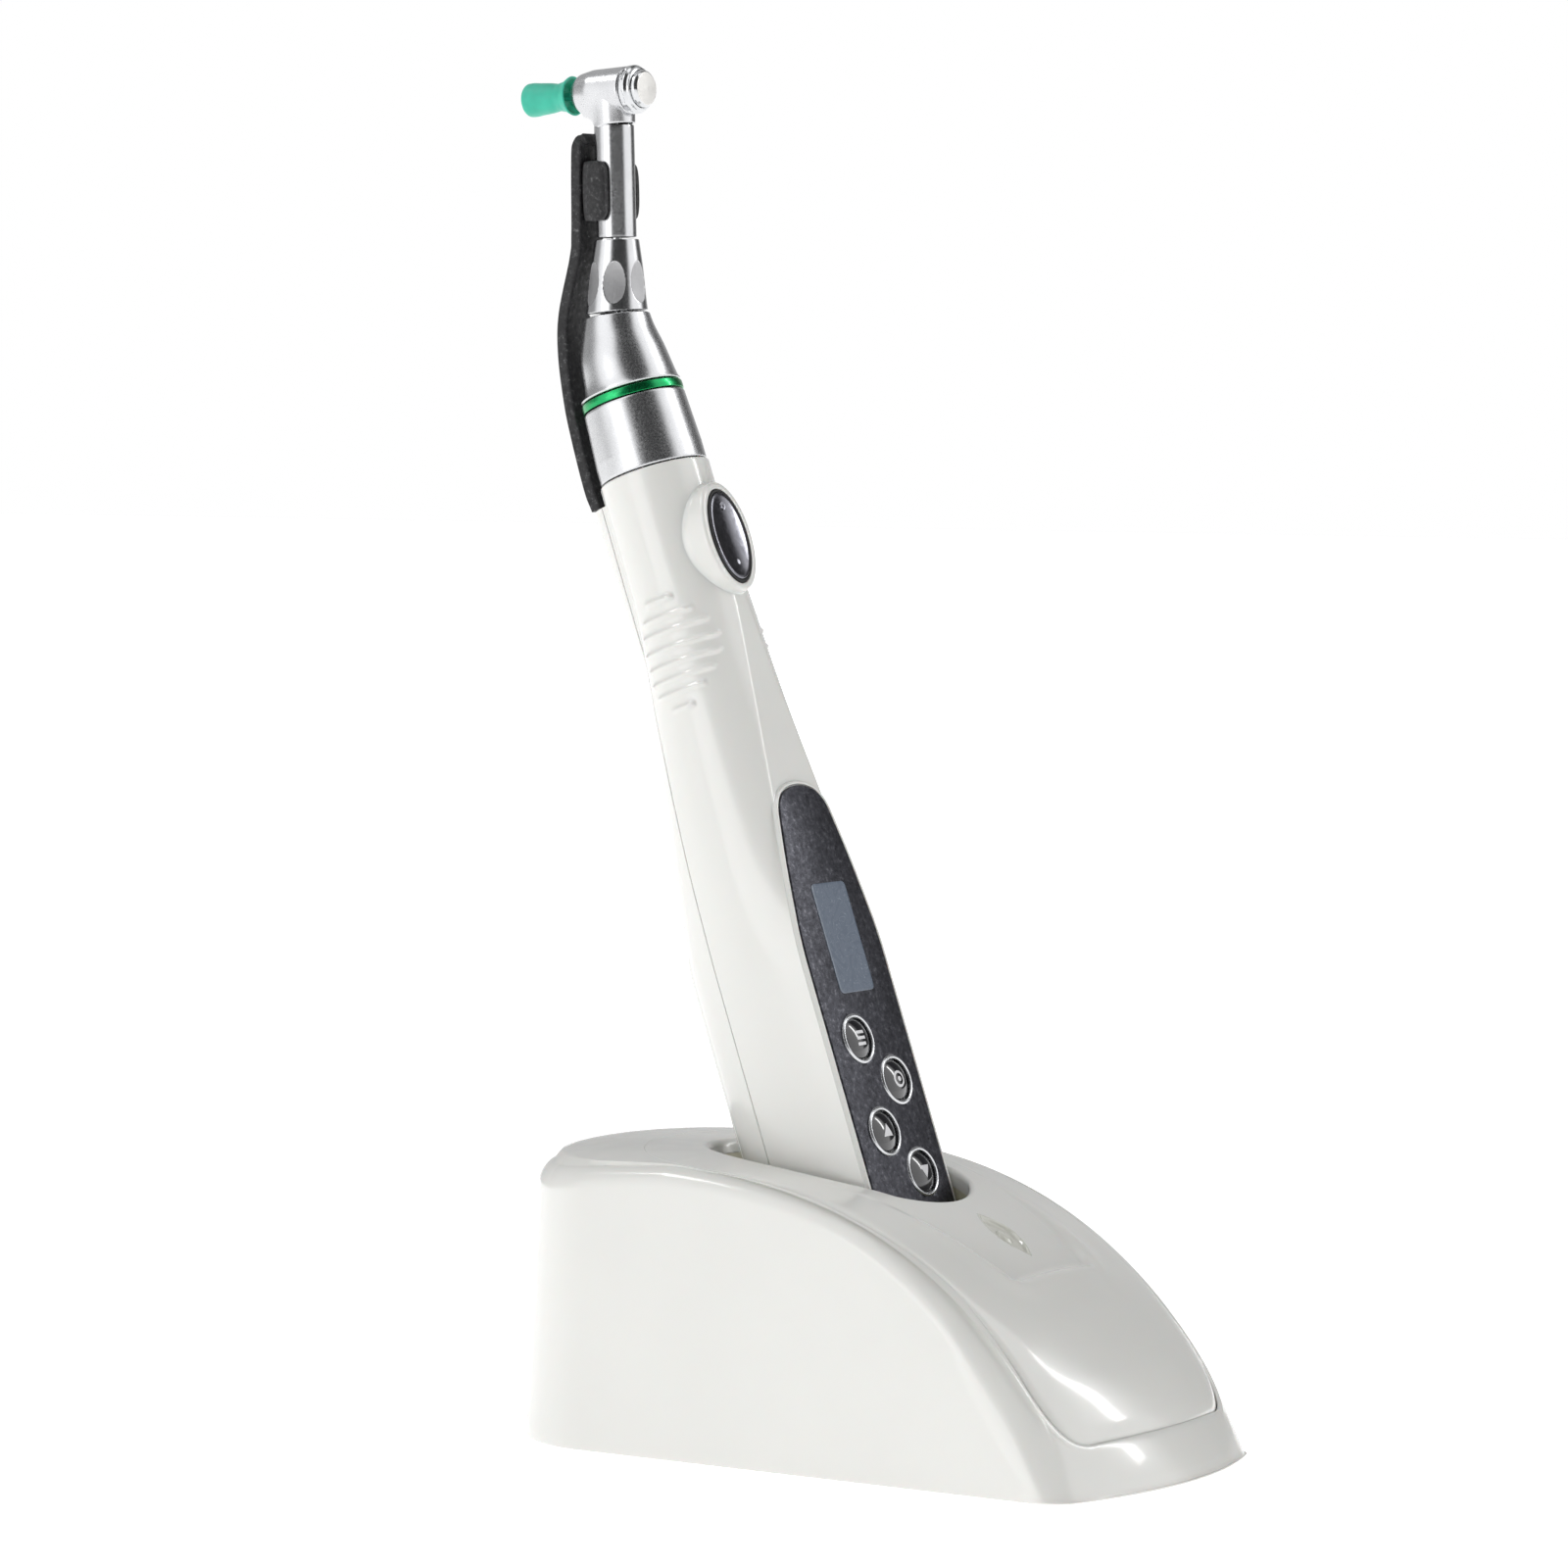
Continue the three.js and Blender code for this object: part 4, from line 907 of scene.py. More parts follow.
def lipped(arc, seam_x):
    """Adds the rounded lip where a shell turns in at the seam. The arc ends on the seam."""
    end = arc[-1]
    eased = end + [SEAM_LIP["ease"] * np.sign(arc[-2, 0] - seam_x), 0]
    return np.vstack([arc[:-1], eased, end - [0, SEAM_LIP["round"]], end - [0, SEAM_LIP["depth"]]])


def shell_arcs(z, sections, front):
    """One shell's share of the grip's sections, with its lip on both sides."""
    rings = []
    for height, section in zip(z, sections):
        if front:
            half = lipped(arc_part(section, SPLIT + SEAM, 99, 170), SPLIT + SEAM)
            loop = np.vstack([(half * [1, -1])[::-1], half[1:]])
        else:
            half = lipped(arc_part(section, -99, SPLIT - SEAM, 110)[::-1], SPLIT - SEAM)[::-1]
            loop = np.vstack([half, (half * [1, -1])[::-1][1:]])
        rings.append(np.column_stack([loop, np.full(len(loop), height)]))
    return np.array(rings)


def front_height(y, z):
    """How far forward the grip's front reaches at (y, z)."""
    side = SIDE_HALF(z)
    face = FRONT_DEPTH(z)
    flat = np.minimum(FLAT_HALF(z), side - 0.5)
    depth = face / np.cos(np.arcsin(flat / side))
    curved = depth * np.sqrt(np.clip(1 - (y / side) ** 2, 0, 1))
    return np.where(np.abs(y) < flat, face, np.minimum(curved, face))


def oval_loop(grow, count=120):
    """The motor switch's outline in (y, z), grown by a width."""
    turn = np.arange(count) * 2 * np.pi / count
    y = (SWITCH["wide"] + grow) * np.cos(turn)
    return y, SWITCH["z"] + (SWITCH["long"] + grow) * np.sin(turn)


def oval_rings(profile):
    return [facing(across, *oval_loop(grow)) for grow, across in profile]


def add_switch_boss(form):
    """The oval collar round the motor switch, running out into the grip."""
    front = SWITCH["boss_front"]
    crown = rounded([(0.75, front - 3, 0), (0.75, front, 0.35), (2.25, front, 0.95), (2.45, front - 3, 0)], 6)
    rings = oval_rings(crown[:-1])
    last_grow, last_across = crown[-2]
    for share in np.linspace(0.08, 1, 14):
        flare = 0.5 * max(0.0, share - 0.6) ** 2 / 0.4**2
        y, z = oval_loop(last_grow + 0.15 * share + flare)
        floor = front_height(y, z) - 0.06
        rings.append(facing(lerp(last_across, floor, min(1, share / 0.93) ** 0.8), y, z))
    form.skin(rings)


def panel_loop():
    """The panel's outline in (y, z), smoothed and evenly spaced."""
    half = resampled([(0, PANEL["low"]), (PANEL["half"], PANEL["low"]), *PANEL_TAPER], 220)
    loop = resampled(mirrored_loop(half, (-1, 1)), 480, closed=True)
    return smoothed(loop[None], 2.2)[0]


def bead(loop, profile):
    """Rings that run a profile of (outward, forward) points along a plane loop in (y, z)."""
    normal = outward_normals(loop)
    return [facing(forward, *(loop + normal * outward).T) for outward, forward in profile]


def add_panel_rim(form):
    """The white bead on the front shell that borders the panel."""
    face = FRONT_DEPTH(50.0)
    profile = rounded([
        (0.3, face - 0.5, 0), (0.3, face + 0.55, 0.15), (0.8, face + 0.55, 0.25), (1.15, face - 0.15, 0.2),
        (1.3, face - 0.2, 0),
    ], 4)
    form.skin(bead(panel_loop(), profile))


def add_grip_foot(form, ring, front):
    """Closes a shell's foot with a flat sheet, with holes for the charging contacts."""
    loop = ring[:, :2]
    loops = [loop]
    if front:
        turn = np.arange(40) * 2 * np.pi / 40
        circle = np.column_stack([np.cos(turn), np.sin(turn)]) * CONTACT["hole"]
        for side in (-1, 1):
            hole = circle + [CONTACT["x"], side * CONTACT["y"]]
            loops.append(hole)
            form.skin([np.column_stack([hole, np.full(len(hole), depth)]) for depth in (0.0, 2.4)])
    form.sheet(loops, lambda corners: np.column_stack([corners, np.zeros(len(corners))]))


def add_grip_top(form, ring):
    """Turns a shell in at the top and down its bore."""
    rings = [ring]
    for scale, drop in ((0.86, 0.0), (0.85, 0.3), (0.85, 6.0)):
        inner = ring.copy()
        inner[:, :2] *= scale
        inner[:, 2] -= drop
        rings.append(inner)
    form.skin(rings, closed=False)


def build_shells():
    """The grip's two shells. The front one also carries the panel's rim and the switch's collar."""
    z, sections = grip_surface()
    for name, node, front in (("front", "front_shell", True), ("rear", "rear_shell", False)):
        rings = shell_arcs(z, sections, front)
        form = Form().skin(rings, closed=False)
        add_grip_foot(form, rings[0], front)
        add_grip_top(form, rings[-1])
        if front:
            add_switch_boss(form)
            add_panel_rim(form)
        form.piece(
            f"handpiece_{name}_shell", GRIP_PLACE, "handpiece", node, "white_plastic", 32,
        )


def corner_turn(radius, to_end):
    """How far a rounded corner has turned in at this distance from its end."""
    return radius - math.sqrt(max(0, radius**2 - max(0, radius - to_end) ** 2))


def build_battery_cover():
    """The cover over the battery, standing just proud of the rear shell."""
    z = np.linspace(COVER["low"], COVER["high"], 60)
    sections = smoothed(grip_section(z), 1.6)
    rings = []
    for i, (height, section) in enumerate(zip(z, sections)):
        half = section[: len(section) // 2 + 1]
        arc = resampled(half[(half[:, 0] < -10) & (half[:, 1] <= COVER["half"])], 60)
        end = min(i, len(z) - 1 - i)
        corner = corner_turn(COVER["corner"], end)
        arc[:, 1] *= (COVER["half"] - corner) / COVER["half"]
        full = np.vstack([arc, (arc * [1, -1])[::-1][1:]])
        edge = np.abs(full[:, 1]) > COVER["flat_half"] - corner
        full[:, 0] -= np.where(edge | (end == 0), -COVER["sunk"], COVER["proud"])
        rings.append(with_height(full, np.full(len(full), height)))
    cover = Form().skin(rings, closed=False)
    cover.piece(
        "handpiece_battery_cover", GRIP_PLACE, "handpiece", "battery_cover", "white_plastic", 30,
    )


def build_panel():
    """The keypad's panel, crowned and with a well round each key, and the display's window."""
    loop = panel_loop()
    front, edge = PANEL["front"], PANEL["edge"]
    profile = rounded([(-0.02, PANEL["back"], 0), (-0.02, front - 0.02, 0.22), (-edge, front, 0)], 5)
    rings = bead(loop, profile)
    middle = np.column_stack([np.zeros(len(loop)), np.clip(loop[:, 1], 14, 88)])
    inner = loop - outward_normals(loop) * edge
    wells = np.array(list(KEYS.values()))
    for share in np.linspace(0.02, 1, 70):
        moved = lerp(inner, middle, share)
        crown = front + PANEL["crown"] * (1 - (1 - share) ** 2)
        near = np.linalg.norm(moved[:, None] - wells, axis=2).min(axis=1)
        inside = 1 - smoothstep(KEY["ring_in"] + 0.05, KEY["ring_out"] - 0.25, near)
        rings.append(facing(crown - PANEL["well"] * inside, *moved.T))
    panel = Form().skin(rings)
    panel.piece("keypad_panel", GRIP_PLACE, "handpiece", "control_panel", "panel", 50)

    half, low, high = SCREEN["half"], SCREEN["low"], SCREEN["high"]
    right = rounded([(0, low, 0), (half, low, 1.3), (half, high, 1.3), (0, high, 0)], 6)
    window = resampled(mirrored_loop(right, (-1, 1)), 160, closed=True)
    level = front + PANEL["crown"] + 0.05
    profile = rounded([(0, PANEL["back"], 0), (0, level, 0.08), (-0.5, level, 0)], 3)
    glass = Form().skin(bead(window, profile), end=True)
    glass.piece("screen_window", GRIP_PLACE, "handpiece", "lcd_window", "screen_glass", 50)


def dome_front(radius):
    """How far forward a key's dome reaches at this distance from its middle."""
    return KEY["front"] + 0.12 - 0.95 * (np.asarray(radius) / KEY["radius"]) ** 2.2


def bar(middle):
    """A grid of points, as (across, up) on a key, over one bar."""
    return np.meshgrid(np.linspace(-1.3, 1.3, 14), np.linspace(middle - 0.3, middle + 0.3, 4))


def annulus(inner, outer):
    radius, turn = np.meshgrid(np.linspace(inner, outer, 4), np.linspace(0, 2 * np.pi, 41))
    return radius * np.cos(turn), radius * np.sin(turn)


def arrow(up):
    rows, across = np.meshgrid(np.linspace(0, 1, 12), np.linspace(-1, 1, 12), indexing="ij")
    return across * 1.5 * (1 - rows), up * (rows * 2.5 - 1.1)


ICONS = {
    "program": [bar(-1.15), bar(0), bar(1.15)],
    "select": [annulus(0.0, 0.5), annulus(1.15, 1.65)],
    "up": [arrow(1)],
    "down": [arrow(-1)],
}


def build_keys():
    """Each key's bezel, its dome and the mark printed on it."""
    ring_profile = rounded([
        (KEY["ring_in"], 11.0, 0), (KEY["ring_in"], KEY["ring_front"], 0.18),
        (lerp(KEY["ring_in"], KEY["ring_out"], 0.5), KEY["ring_front"] + 0.12, 0.3),
        (KEY["ring_out"], KEY["ring_front"] - 0.15, 0.2), (KEY["ring_out"], 11.4, 0),
    ], 5)
    radii = np.linspace(KEY["radius"] - 0.12, 0.01, 18)
    dome_profile = [(KEY["radius"], KEY["back"]), (KEY["radius"], dome_front(KEY["radius"]) - 0.1)]
    dome_profile += [(radius, float(dome_front(radius))) for radius in radii]
    for name, (y, z) in KEYS.items():
        shift = np.array([0, y, z])
        ring = Form().skin(turned(ring_profile, 96, "x") + shift)
        ring.piece(
            f"key_bezel_{name}", GRIP_PLACE, "handpiece", f"key_ring_{name}", "silver_trim", 60,
        )
        body = f"key_{name}"
        dome = Form().skin(turned(dome_profile, 96, "x") + shift, start=True, end=True)
        dome.piece(f"key_dome_{name}", GRIP_PLACE, body, body, "black_gloss", 50)
        icon = Form()
        for across, up in ICONS[name]:
            lift = dome_front(np.hypot(across, up)) + 0.02
            icon.skin(np.stack([lift, across + y, up + z], axis=-1), closed=False)
        icon.piece(
            f"key_mark_{name}", GRIP_PLACE, body, None, "silver_trim", 50, [PRINTED_SILVER],
        )


def build_switch():
    """The motor switch's rubber seal and its button, with two dimples in the button's face."""
    front = SWITCH["front"]
    gasket_profile = [(0.12, 9.6, 0), (0.12, 13.12, 0.12), (0.66, 13.12, 0.2), (0.66, 9.6, 0)]
    gasket = Form().skin(oval_rings(rounded(gasket_profile, 4)))
    gasket.piece("switch_seal", GRIP_PLACE, "handpiece", "switch_gasket", "rubber", 60)

    edge = rounded([(0, 9.5, 0), (0, front - 0.05, 0.3), (-0.7, front - 0.02, 0.4)], 5)
    rings = oval_rings(edge)
    outer_y, outer_z = oval_loop(-0.7)
    for share in np.linspace(0.03, 0.995, 60):
        y, z = outer_y * (1 - share), SWITCH["z"] + (outer_z - SWITCH["z"]) * (1 - share)
        across = front - 0.02 - 0.35 * (1 - (1 - share) ** 2)
        for at, size, depth in ((6.0, 0.85, 0.3), (-5.4, 0.7, 0.1)):
            distance = np.hypot(y, z - SWITCH["z"] - at)
            across = across - depth * (1 - smoothstep(size * 0.3, size, distance))
        rings.append(facing(across, y, z))
    button = Form().skin(rings, end=True)
    button.piece(
        "motor_switch_button", GRIP_PLACE, "motor_switch", "motor_switch", "black_gloss", 50,
        [DARK_CHROME],
    )


# ---- the contra-angle ----------------------------------------------------------------------

BARREL = {"low": 165.3, "foot": 10.65, "ring": 10.1, "ring_low": 179.8, "ring_high": 181.4}
# x, z and lean of the upper barrel's and collar's axis in the dock's frame, and their radius
UPPER = [(-50.0, 204.4, 18.2, 9.15), (-51.9, 210, 16, 8.35), (-52.9, 214.6, 11, 7.1), (-53.3, 217.6, 8, 6.35)]
COLLAR = [(-53.35, 218.1, 6, 6.1), (-53.35, 221, 3, 5.75), (-53.33, 227, 2, 5.1), (-53.32, 232.3, 1.6, 4.35)]
FLATS = {"count": 6, "z": 223.8, "half_z": 4.2, "half_angle": math.radians(24.6), "depth": 0.5}
NECK = {"radius": 3.9, "low": 16.7, "high": 38.6}  # from the neck frame's origin, 216 mm up
HEAD = {"back": -8.3, "front": 4.1, "radius": 4.6}
PLUG = {"tip": -20.2, "mouth": -9.4}
CAP_COLLAR = {"radius": 4.75, "notches": 6, "notch_half": 1.5, "notch_x": 5.05, "notch_depth": 0.35}
BRACKET = {
    "half": 4.0, "thick": 2.4, "jaw_low": 20.0, "jaw_high": 31.5, "jaw_out": 6.4, "jaw_in": 4.25,
    "jaw_tip": math.radians(74), "jaw_corner": 2.2,
}
SPINE = [
    (-59.8, 253), (-61.5, 250.5), (-61.6, 234), (-62, 229), (-64.7, 218), (-64.9, 210),
    (-63.5, 200.5), (-61.9, 194), (-59.3, 185.3), (-57.1, 179.2),
]


def spline(points, count):
    """Evenly spread points of a smooth curve through the given ones."""
    points = np.asarray(points, float)
    padded = np.vstack([2 * points[0] - points[1], points, 2 * points[-1] - points[-2]])
    pieces = []
    for a, b, c, d in zip(padded, padded[1:], padded[2:], padded[3:]):
        t = np.linspace(0, 1, 24, endpoint=False)[:, None]
        pieces.append(0.5 * (2 * b + (c - a) * t + (2 * a - 5 * b + 4 * c - d) * t**2
                             + (3 * b - a - 3 * c + d) * t**3))
    pieces.append(points[-1:])
    return resampled(np.vstack(pieces), count)


def bent_rings(stations, sides=144):
    """Circles round a bent axis from (x, z, lean in degrees, radius) stations."""
    turn = np.arange(sides) * 2 * np.pi / sides
    rings = []
    for x, z, lean, radius in stations:
        lean = math.radians(lean)
        across, aside = radius * np.cos(turn), radius * np.sin(turn)
        rings.append(np.column_stack([
            x + across * math.cos(lean), aside, z + across * math.sin(lean),
        ]))
    return np.array(rings), turn


def ends_turned(stations, inner, edge):
    """Stations with their two ends rounded over an edge and turned in to an inner radius."""

    def turned_in(station, sign):
        x, z, lean, radius = station
        turn = math.radians(lean)
        line = []
        for angle in np.linspace(0, np.pi / 2, 5):
            shift = sign * edge * (1 - math.sin(angle))
            drop = edge * (1 - math.cos(angle))
            line.append([x - math.sin(turn) * shift, z + math.cos(turn) * shift, lean, radius - drop])
        return [*line, [*line[-1][:3], inner]]

    start, end = turned_in(stations[0], 1), turned_in(stations[-1], -1)
    return np.array([*reversed(start), *stations[1:-1], *end])


def notches(turn, count):
    """The angle from each direction to the nearest of count evenly spaced notches."""
    pitch = 2 * np.pi / count
    return np.mod(turn + pitch / 2, pitch) - pitch / 2


def build_barrel():
    """The contra-angle's barrel: the sleeve, the speed's colour ring and the bent upper body."""
    low, high = BARREL["low"], BARREL["ring_low"] - 0.3
    sleeve = rounded([
        (6.3, low, 0), (BARREL["foot"], low, 0.3), (BARREL["foot"], 169, 8), (BARREL["ring"], high, 0.25),
        (6.3, high, 0),
    ], 6)
    form = Form().skin(turned(resampled(sleeve, 90), 144))
    form.piece("barrel_lower_sleeve", GRIP_PLACE, "contra_angle", "barrel_sleeve", "satin_steel")
    ring = rounded([
        (8.2, BARREL["ring_low"], 0), (BARREL["ring"], BARREL["ring_low"], 0.12),
        (BARREL["ring"] + 0.05, 180.6, 1), (BARREL["ring"], BARREL["ring_high"], 0.12),
        (8.2, BARREL["ring_high"], 0),
    ], 4)
    form = Form().skin(turned(ring, 144))
    form.piece("speed_colour_ring", GRIP_PLACE, "contra_angle", "color_ring", "green_ring")

    start = grip_to_dock(0.0, 0.0, BARREL["ring_high"] + 0.3)
    lean = math.degrees(math.acos(GRIP_AXIS.z))
    stations = spline([(start[0], start[2], lean, 10.0), *UPPER], 60)
    rings, _ = bent_rings(ends_turned(stations, 5.5, 0.45))
    form = Form().skin(rings)
    form.piece("barrel_upper_body", DOCK_PLACE, "contra_angle", "upper_barrel", "satin_steel")


def build_collar():
    """The tapered collar under the neck, with a ring of frosted flats ground into it."""
    stations = ends_turned(spline(COLLAR, 90), 3.4, 0.2)
    rings, turn = bent_rings(stations, 240)
    off = notches(turn, FLATS["count"])
    height = stations[:, 1][:, None]
    radius = stations[:, 3][:, None]
    reach = 1 - (off / FLATS["half_angle"]) ** 2 - ((height - FLATS["z"]) / FLATS["half_z"]) ** 2
    outer = radius > 4.0
    depth = FLATS["depth"] * np.clip(reach, 0, 1) ** 0.85 * outer
    axis = np.column_stack([stations[:, 0], np.zeros(len(stations)), stations[:, 1]])[:, None, :]
    direction = (rings - axis) / np.maximum(radius[..., None], 1e-6)
    rings = rings - direction * depth[..., None]
    frosted = (reach > 0) & outer
    frosted = frosted & np.roll(frosted, -1, axis=1)
    kinds = (frosted[:-1] & frosted[1:]).astype(int)
    form = Form().skin(rings, kinds=kinds)
    form.piece(
        "neck_collar_ground", DOCK_PLACE, "contra_angle", "neck_collar", "satin_steel", 14,
        [SATIN_NECK, GROUND_STEEL],
    )


def build_neck():
    """The neck's straight sheath between the collar and the head."""
    radius, low, high = NECK["radius"], NECK["low"], NECK["high"]
    profile = rounded([
        (2.7, low, 0), (radius, low, 0.15), (radius + 0.02, (low + high) / 2, 9), (radius, high, 0.35),
        (2.7, high, 0),
    ], 5)
    form = Form().skin(turned(resampled(profile, 80), 120))
    form.piece(
        "neck_sheath", NECK_PLACE, "contra_angle", "neck_tube", "polished_steel",
        materials=[SATIN_NECK],
    )


def build_head():
    """The head's casing: a barrel across the neck, with a skirt that runs down to the neck."""
    back, front, radius = HEAD["back"], HEAD["front"], HEAD["radius"]
    profile = rounded([
        (2.2, back + 1.5, 0), (2.2, back, 0.2), (2.9, back, 0.7), (4.05, back + 1.5, 1.8),
        (radius, back + 4.5, 5), (radius + 0.05, front - 0.35, 0.25), (radius - 0.2, front, 0.1),
        (3.85, front, 0), (3.85, front - 2, 0),
    ], 6)
    casing = Form().skin(turned(resampled(profile, 120), 120, "x"))
    turn = np.arange(96) * 2 * np.pi / 96
    cosine, sine = np.cos(turn), np.sin(turn)
    neck = NECK["radius"] + 0.08
    rear = (1 - cosine) / 2
    start = np.column_stack([neck * cosine, neck * sine, -6.2 - 1.6 * rear**2])
    far = np.where(cosine < 0, 6.9, 3.9)
    half = 4.45
    y = half * sine
    end = np.column_stack([far * cosine, y, -np.sqrt(radius**2 - y**2) + 0.12])
    control = np.column_stack([
        neck * cosine, lerp(neck, half, 0.5) * sine, lerp(start[:, 2], end[:, 2], 0.75),
    ])
    rings = [start * [0.9, 0.9, 1], start * [0.99, 0.99, 1] - [0, 0, 0.05]]
    for t in np.linspace(0, 1, 18):
        rings.append((1 - t) ** 2 * start + 2 * t * (1 - t) * control + t * t * end)
    casing.skin(rings)
    casing.piece("head_casing", HEAD_PLACE, "contra_angle", "head_shell", "satin_steel")


def build_cap():
    """The notched collar at the head's end and the push cap that stands out of it."""
    ring = resampled(rounded([
        (3.75, 4.25, 0), (4.35, 4.25, 0.1), (4.72, 4.55, 0.2), (CAP_COLLAR["radius"], 5.7, 0.35),
        (4.3, 6.15, 0.15), (4.2, 6.6, 0.2), (3.75, 6.7, 0),
    ], 6), 60)
    rings = turned(ring, 240, "x")
    around = np.arange(240) * 2 * np.pi / 240
    aside = notches(around - 0.35, CAP_COLLAR["notches"]) * CAP_COLLAR["radius"]
    along = (ring[:, 1:2] - CAP_COLLAR["notch_x"]) / 0.5
    reach = 1 - (aside / CAP_COLLAR["notch_half"]) ** 2 - along**2
    depth = CAP_COLLAR["notch_depth"] * np.clip(reach, 0, 1) ** 0.5 * (ring[:, :1] > 4.5)
    rings[..., 1:] *= (1 - depth / CAP_COLLAR["radius"])[..., None]
    form = Form().skin(rings)
    form.piece("head_cap_collar", HEAD_PLACE, "contra_angle", "head_cap_ring", "polished_steel", 50)
    cap = rounded([
        (3.65, 3.9, 0), (3.65, 7.35, 0.2), (3.45, 7.75, 0.3), (3.15, 8.05, 0.35), (0.01, 8.2, 0),
    ], 6)
    cap = resampled(cap, 70)
    rings = turned(cap, 120, "x")
    kinds = np.repeat((cap[:-1, 0] < 3.3).astype(int)[:, None], 120, axis=1)
    form = Form().skin(rings, end=True, kinds=kinds)
    form.piece(
        "push_button_cap", HEAD_PLACE, "push_cap", "push_cap", "frosted_steel", 50,
        [FINISH["polished_steel"], FINISH["frosted_steel"]],
    )


def build_plug():
    """The rubber plug in the head, with the funnel at its mouth and the pin behind it."""
    tip, mouth = PLUG["tip"], PLUG["mouth"]
    profile = rounded([
        (0.01, tip, 0), (3.3, tip, 0.7), (3.32, tip + 1.6, 2), (3.15, -17.0, 3), (2.95, -14.5, 3),
        (2.65, mouth - 3.4, 2.0), (3.05, mouth - 1.7, 1.2), (3.95, mouth, 0.22), (3.45, mouth + 0.02, 0.15),
        (2.1, mouth - 2.4, 0.6), (0.9, mouth - 2.8, 0.2), (0.9, -3.9, 0.2), (0.01, -3.9, 0),
    ], 7)
    form = Form().skin(turned(resampled(profile, 150), 120, "x"), start=True, end=True)
    form.piece("rubber_dust_plug", HEAD_PLACE, "dust_plug", "dust_plug", "teal_silicone", 60)


def build_bracket():
    """The bracket behind the contra-angle, with a jaw that clips on the neck."""
    outer = spline(SPINE, 150)
    along = np.gradient(outer, axis=0)
    along /= np.linalg.norm(along, axis=1)[:, None]
    inward = np.column_stack([-along[:, 1], along[:, 0]])
    half, thick = BRACKET["half"], BRACKET["thick"]
    section = rounded([
        (0, half - 1.4, 0), (0, half, 0.5), (thick, half, 0.55), (thick, -half, 0.55), (0, -half, 0.5),
        (0, half - 1.4, 0),
    ], 4)[:-1]
    section = resampled(section, 72, closed=True)
    travel = np.linspace(0, 1, len(outer))
    width = 1 - 0.35 * (1 - smoothstep(0, 0.05, travel)) - 0.12 * smoothstep(0.96, 1, travel)
    rings = []
    for point, toward, wide in zip(outer, inward, width):
        x = point[0] + section[:, 0] * toward[0]
        z = point[1] + section[:, 0] * toward[1]
        rings.append(np.column_stack([x, section[:, 1] * wide, z]))
    form = Form().skin(rings, start=True, end=True)
    form.piece("bracket_strip", DOCK_PLACE, "contra_angle", "back_bracket", "charcoal")

    low, high, out, inn = (BRACKET[key] for key in ("jaw_low", "jaw_high", "jaw_out", "jaw_in"))
    tip, middle = BRACKET["jaw_tip"], (high - low) / 2
    section = rounded([
        (inn, 0.5, 0), (inn, 0, 0.4), (out, 0, 0.7), (out, 1, 0.7), (inn, 1, 0.4), (inn, 0.5, 0),
    ], 5)[:-1]
    section = resampled(section * [1, high - low], 84, closed=True)
    rings = []
    for turn in np.linspace(tip, 2 * np.pi - tip, 150):
        corner = corner_turn(BRACKET["jaw_corner"], min(turn - tip, 2 * np.pi - tip - turn) * out)
        squeeze = (middle - corner) / middle
        height = low + middle + (section[:, 1] - middle) * squeeze
        radius = section[:, 0] - 0.25 * corner * (section[:, 0] > (out + inn) / 2)
        rings.append(np.column_stack([radius * math.cos(turn), radius * math.sin(turn), height]))
    jaw = Form().skin(rings, start=True, end=True)
    jaw.piece("bracket_jaw", NECK_PLACE, "contra_angle", None, "charcoal")


# ---- CAD nodes -----------------------------------------------------------------------------


def finish_cad_nodes():
    """Gives each CAD node the material of its slot."""
    for part in frame["record"]["subparts"]:
        node = frame["nodes"][part["node"]]
        node.data.materials.clear()
        node.data.materials.append(FINISH[part["material_slot"]])


# ---- the studio ----------------------------------------------------------------------------

AIM = Vector((-0.0154, 0, 0.1274))
VIEW = {"azimuth": 34, "elevation": 3.75, "distance": 1.2}
# The studio's walls by compass angle, 0 along +X: soft boxes left and right of a dark front
WALLS = [
    (-180, 0.24), (-150, 0.26), (-134, 0.84), (-90, 0.84), (-76, 0.03), (-8, 0.03),
    (8, 0.8), (53, 0.8), (61, 0.05), (84, 0.05), (106, 0.34), (180, 0.26),
]
WALL_STRENGTH = 1.6
CEILING = 1.12  # the ceiling's strength, as a share of the walls'


def build_floor():
    mesh = bpy.data.meshes.new("studio_floor")
    half = 6.0
    corners = [(-half, -half, 0), (half, -half, 0), (half, half, 0), (-half, half, 0)]
    mesh.from_pydata(corners, [], [(0, 1, 2, 3)])
    floor = new_object("studio_floor", mesh)
    shade = Shade(
        "pale_paper", (0.9, 0.9, 0.895), 0.8, Emission_Strength=0.62, Emission_Color=(1, 1, 1, 1),
    )
    shade.paint(shade.noise(0.01, 2), [(0.3, (0.89, 0.89, 0.885)), (0.7, (0.91, 0.91, 0.905))])
    mesh.materials.append(shade.material)


def stand_round(name, data, azimuth, elevation, distance):
    """Stands a camera or light at these angles in degrees, facing the object."""
    a, e = math.radians(azimuth), math.radians(elevation)
    back = Vector((math.sin(a) * math.cos(e), -math.cos(a) * math.cos(e), math.sin(e)))
    thing = new_object(name, data)
    thing.location = AIM + back * distance
    thing.rotation_euler = (-back).to_track_quat("-Z", "Y").to_euler()
    return thing


def add_light(name, azimuth, elevation, distance, size, power):
    """A soft rectangular light."""
    light = bpy.data.lights.new(name, "AREA")
    light.shape = "RECTANGLE"
    light.size, light.size_y = size
    light.energy = power
    stand_round(name, light, azimuth, elevation, distance)


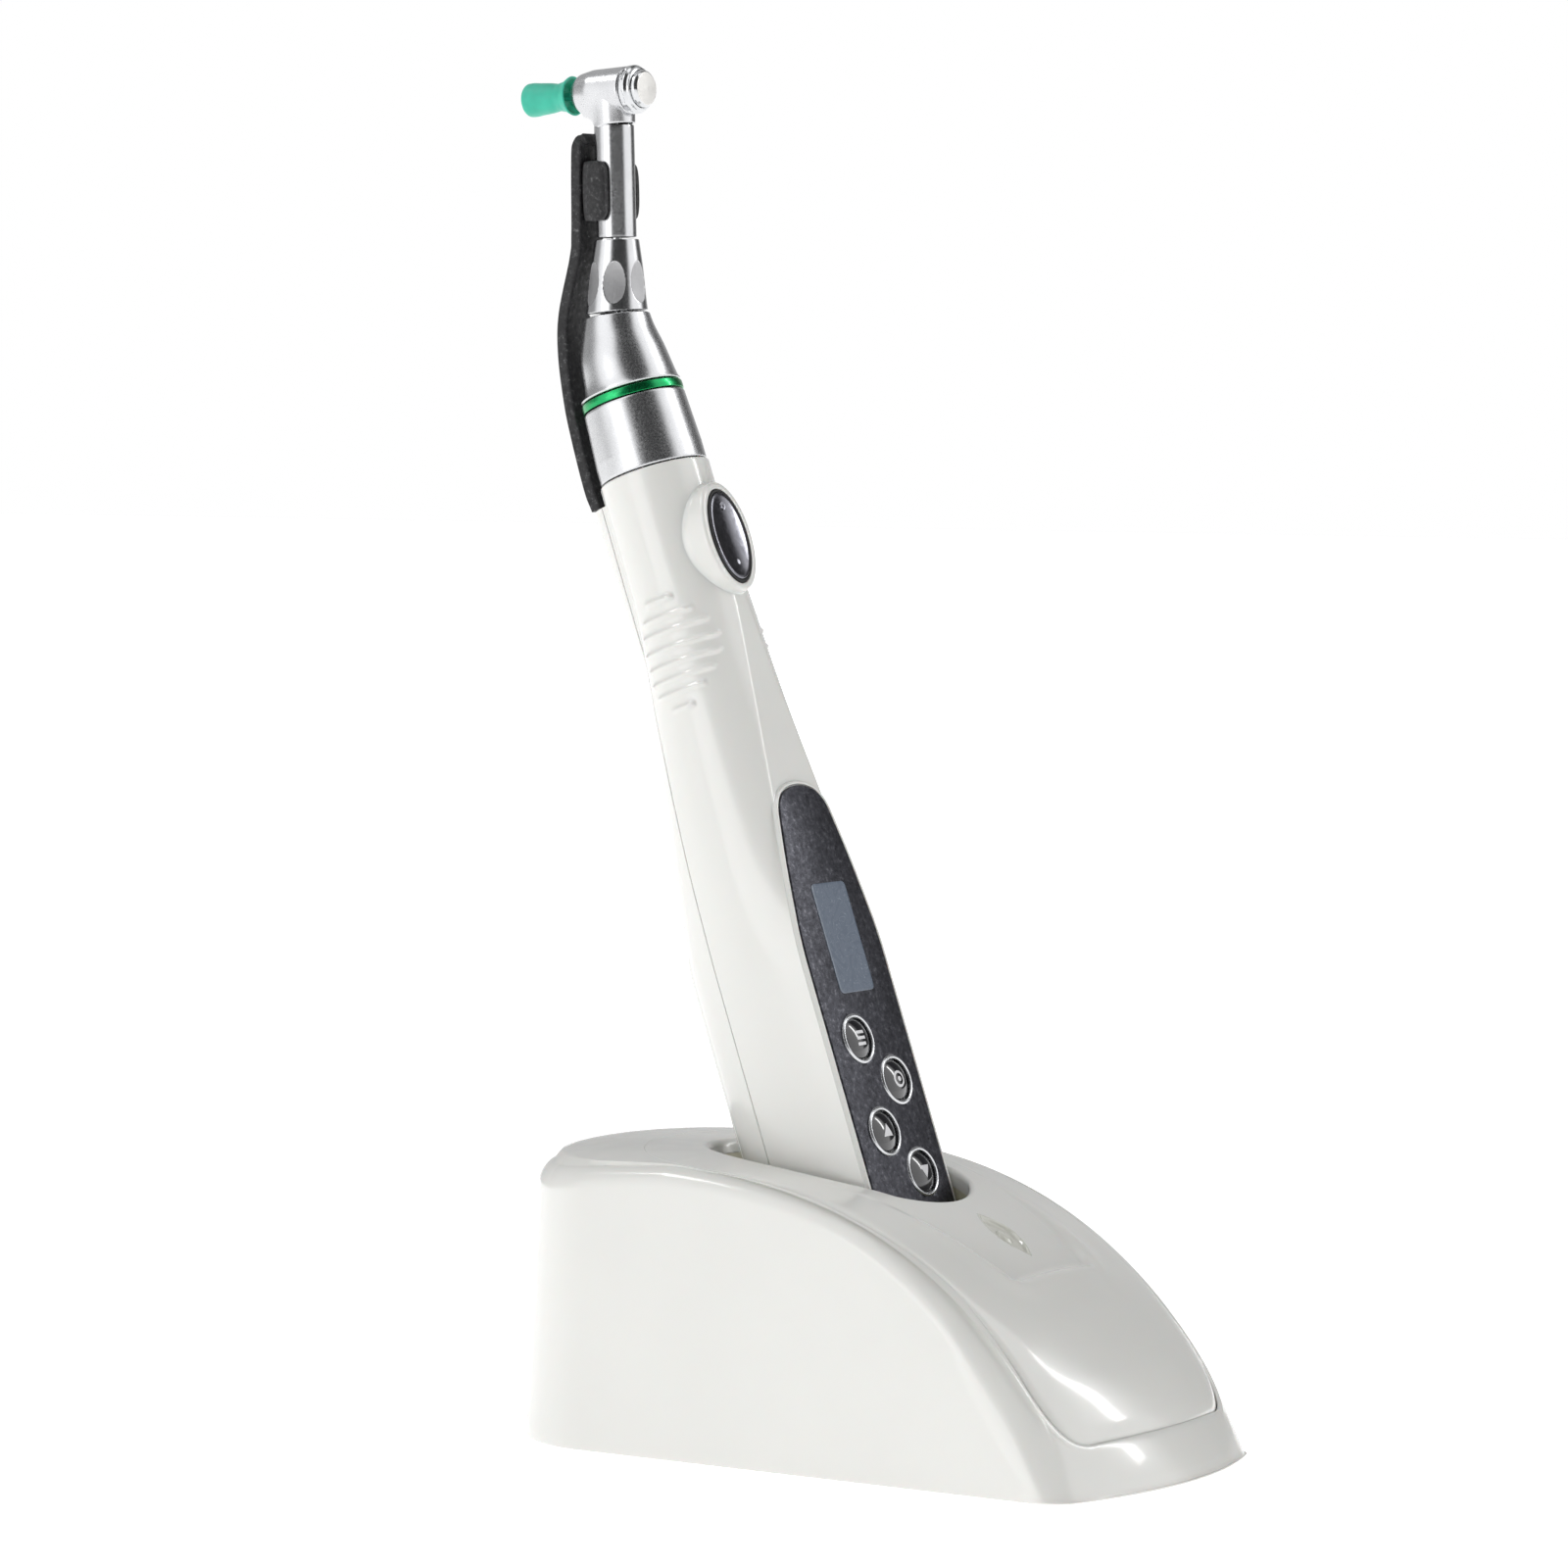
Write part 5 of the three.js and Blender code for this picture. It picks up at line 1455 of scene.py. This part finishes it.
def build_air():
    """The studio's soft light: walls by compass angle, a brighter ceiling, and a white backdrop."""
    world = bpy.data.worlds.new("studio_air")
    world.use_nodes = True
    nodes, links = world.node_tree.nodes, world.node_tree.links
    walls = nodes["Background"]
    split = nodes.new("ShaderNodeSeparateXYZ")
    links.new(nodes.new("ShaderNodeTexCoord").outputs["Generated"], split.inputs["Vector"])
    compass = nodes.new("ShaderNodeMath")
    compass.operation = "ARCTAN2"
    links.new(split.outputs["Y"], compass.inputs[0])
    links.new(split.outputs["X"], compass.inputs[1])
    share = nodes.new("ShaderNodeMapRange")
    set_inputs(share, From_Min=-math.pi, From_Max=math.pi)
    links.new(compass.outputs["Value"], share.inputs["Value"])
    ramp = color_ramp(nodes, [((angle + 180) / 360, (level, level, level)) for angle, level in WALLS])
    links.new(share.outputs["Result"], ramp.inputs["Fac"])
    links.new(ramp.outputs["Color"], walls.inputs["Color"])
    ceiling = nodes.new("ShaderNodeMapRange")
    set_inputs(
        ceiling, From_Min=0.3, From_Max=0.9, To_Min=WALL_STRENGTH, To_Max=WALL_STRENGTH * CEILING,
    )
    links.new(split.outputs["Z"], ceiling.inputs["Value"])
    links.new(ceiling.outputs["Result"], walls.inputs["Strength"])
    backdrop = nodes.new("ShaderNodeBackground")
    set_inputs(backdrop, Color=(1, 1, 1, 1))
    seen = nodes.new("ShaderNodeLightPath")
    mix = nodes.new("ShaderNodeMixShader")
    links.new(seen.outputs["Is Camera Ray"], mix.inputs["Fac"])
    links.new(walls.outputs["Background"], mix.inputs[1])
    links.new(backdrop.outputs["Background"], mix.inputs[2])
    links.new(mix.outputs["Shader"], nodes["World Output"].inputs["Surface"])
    bpy.context.scene.world = world


def build_studio():
    build_air()
    add_light("window_light", -62, 50, 1.4, (0.4, 0.2), 1.8)
    add_light("strip_light", 135, 31, 1.5, (0.12, 0.7), 2.4)
    add_light("front_light", -12, 8, 1.6, (0.8, 0.7), 2.2)


def build_camera():
    data = bpy.data.cameras.new("view_camera")
    data.sensor_width = 36
    data.lens = 143.1
    data.clip_end = 50
    bpy.context.scene.camera = stand_round("view_camera", data, **VIEW)


build_camera()
finish_cad_nodes()
build_dock_skin()
build_socket()
build_lamp()
build_shells()
build_battery_cover()
build_panel()
build_keys()
build_switch()
build_barrel()
build_collar()
build_neck()
build_head()
build_cap()
build_plug()
build_bracket()
build_floor()
build_studio()

bpy.context.scene.view_settings.view_transform = "Standard"
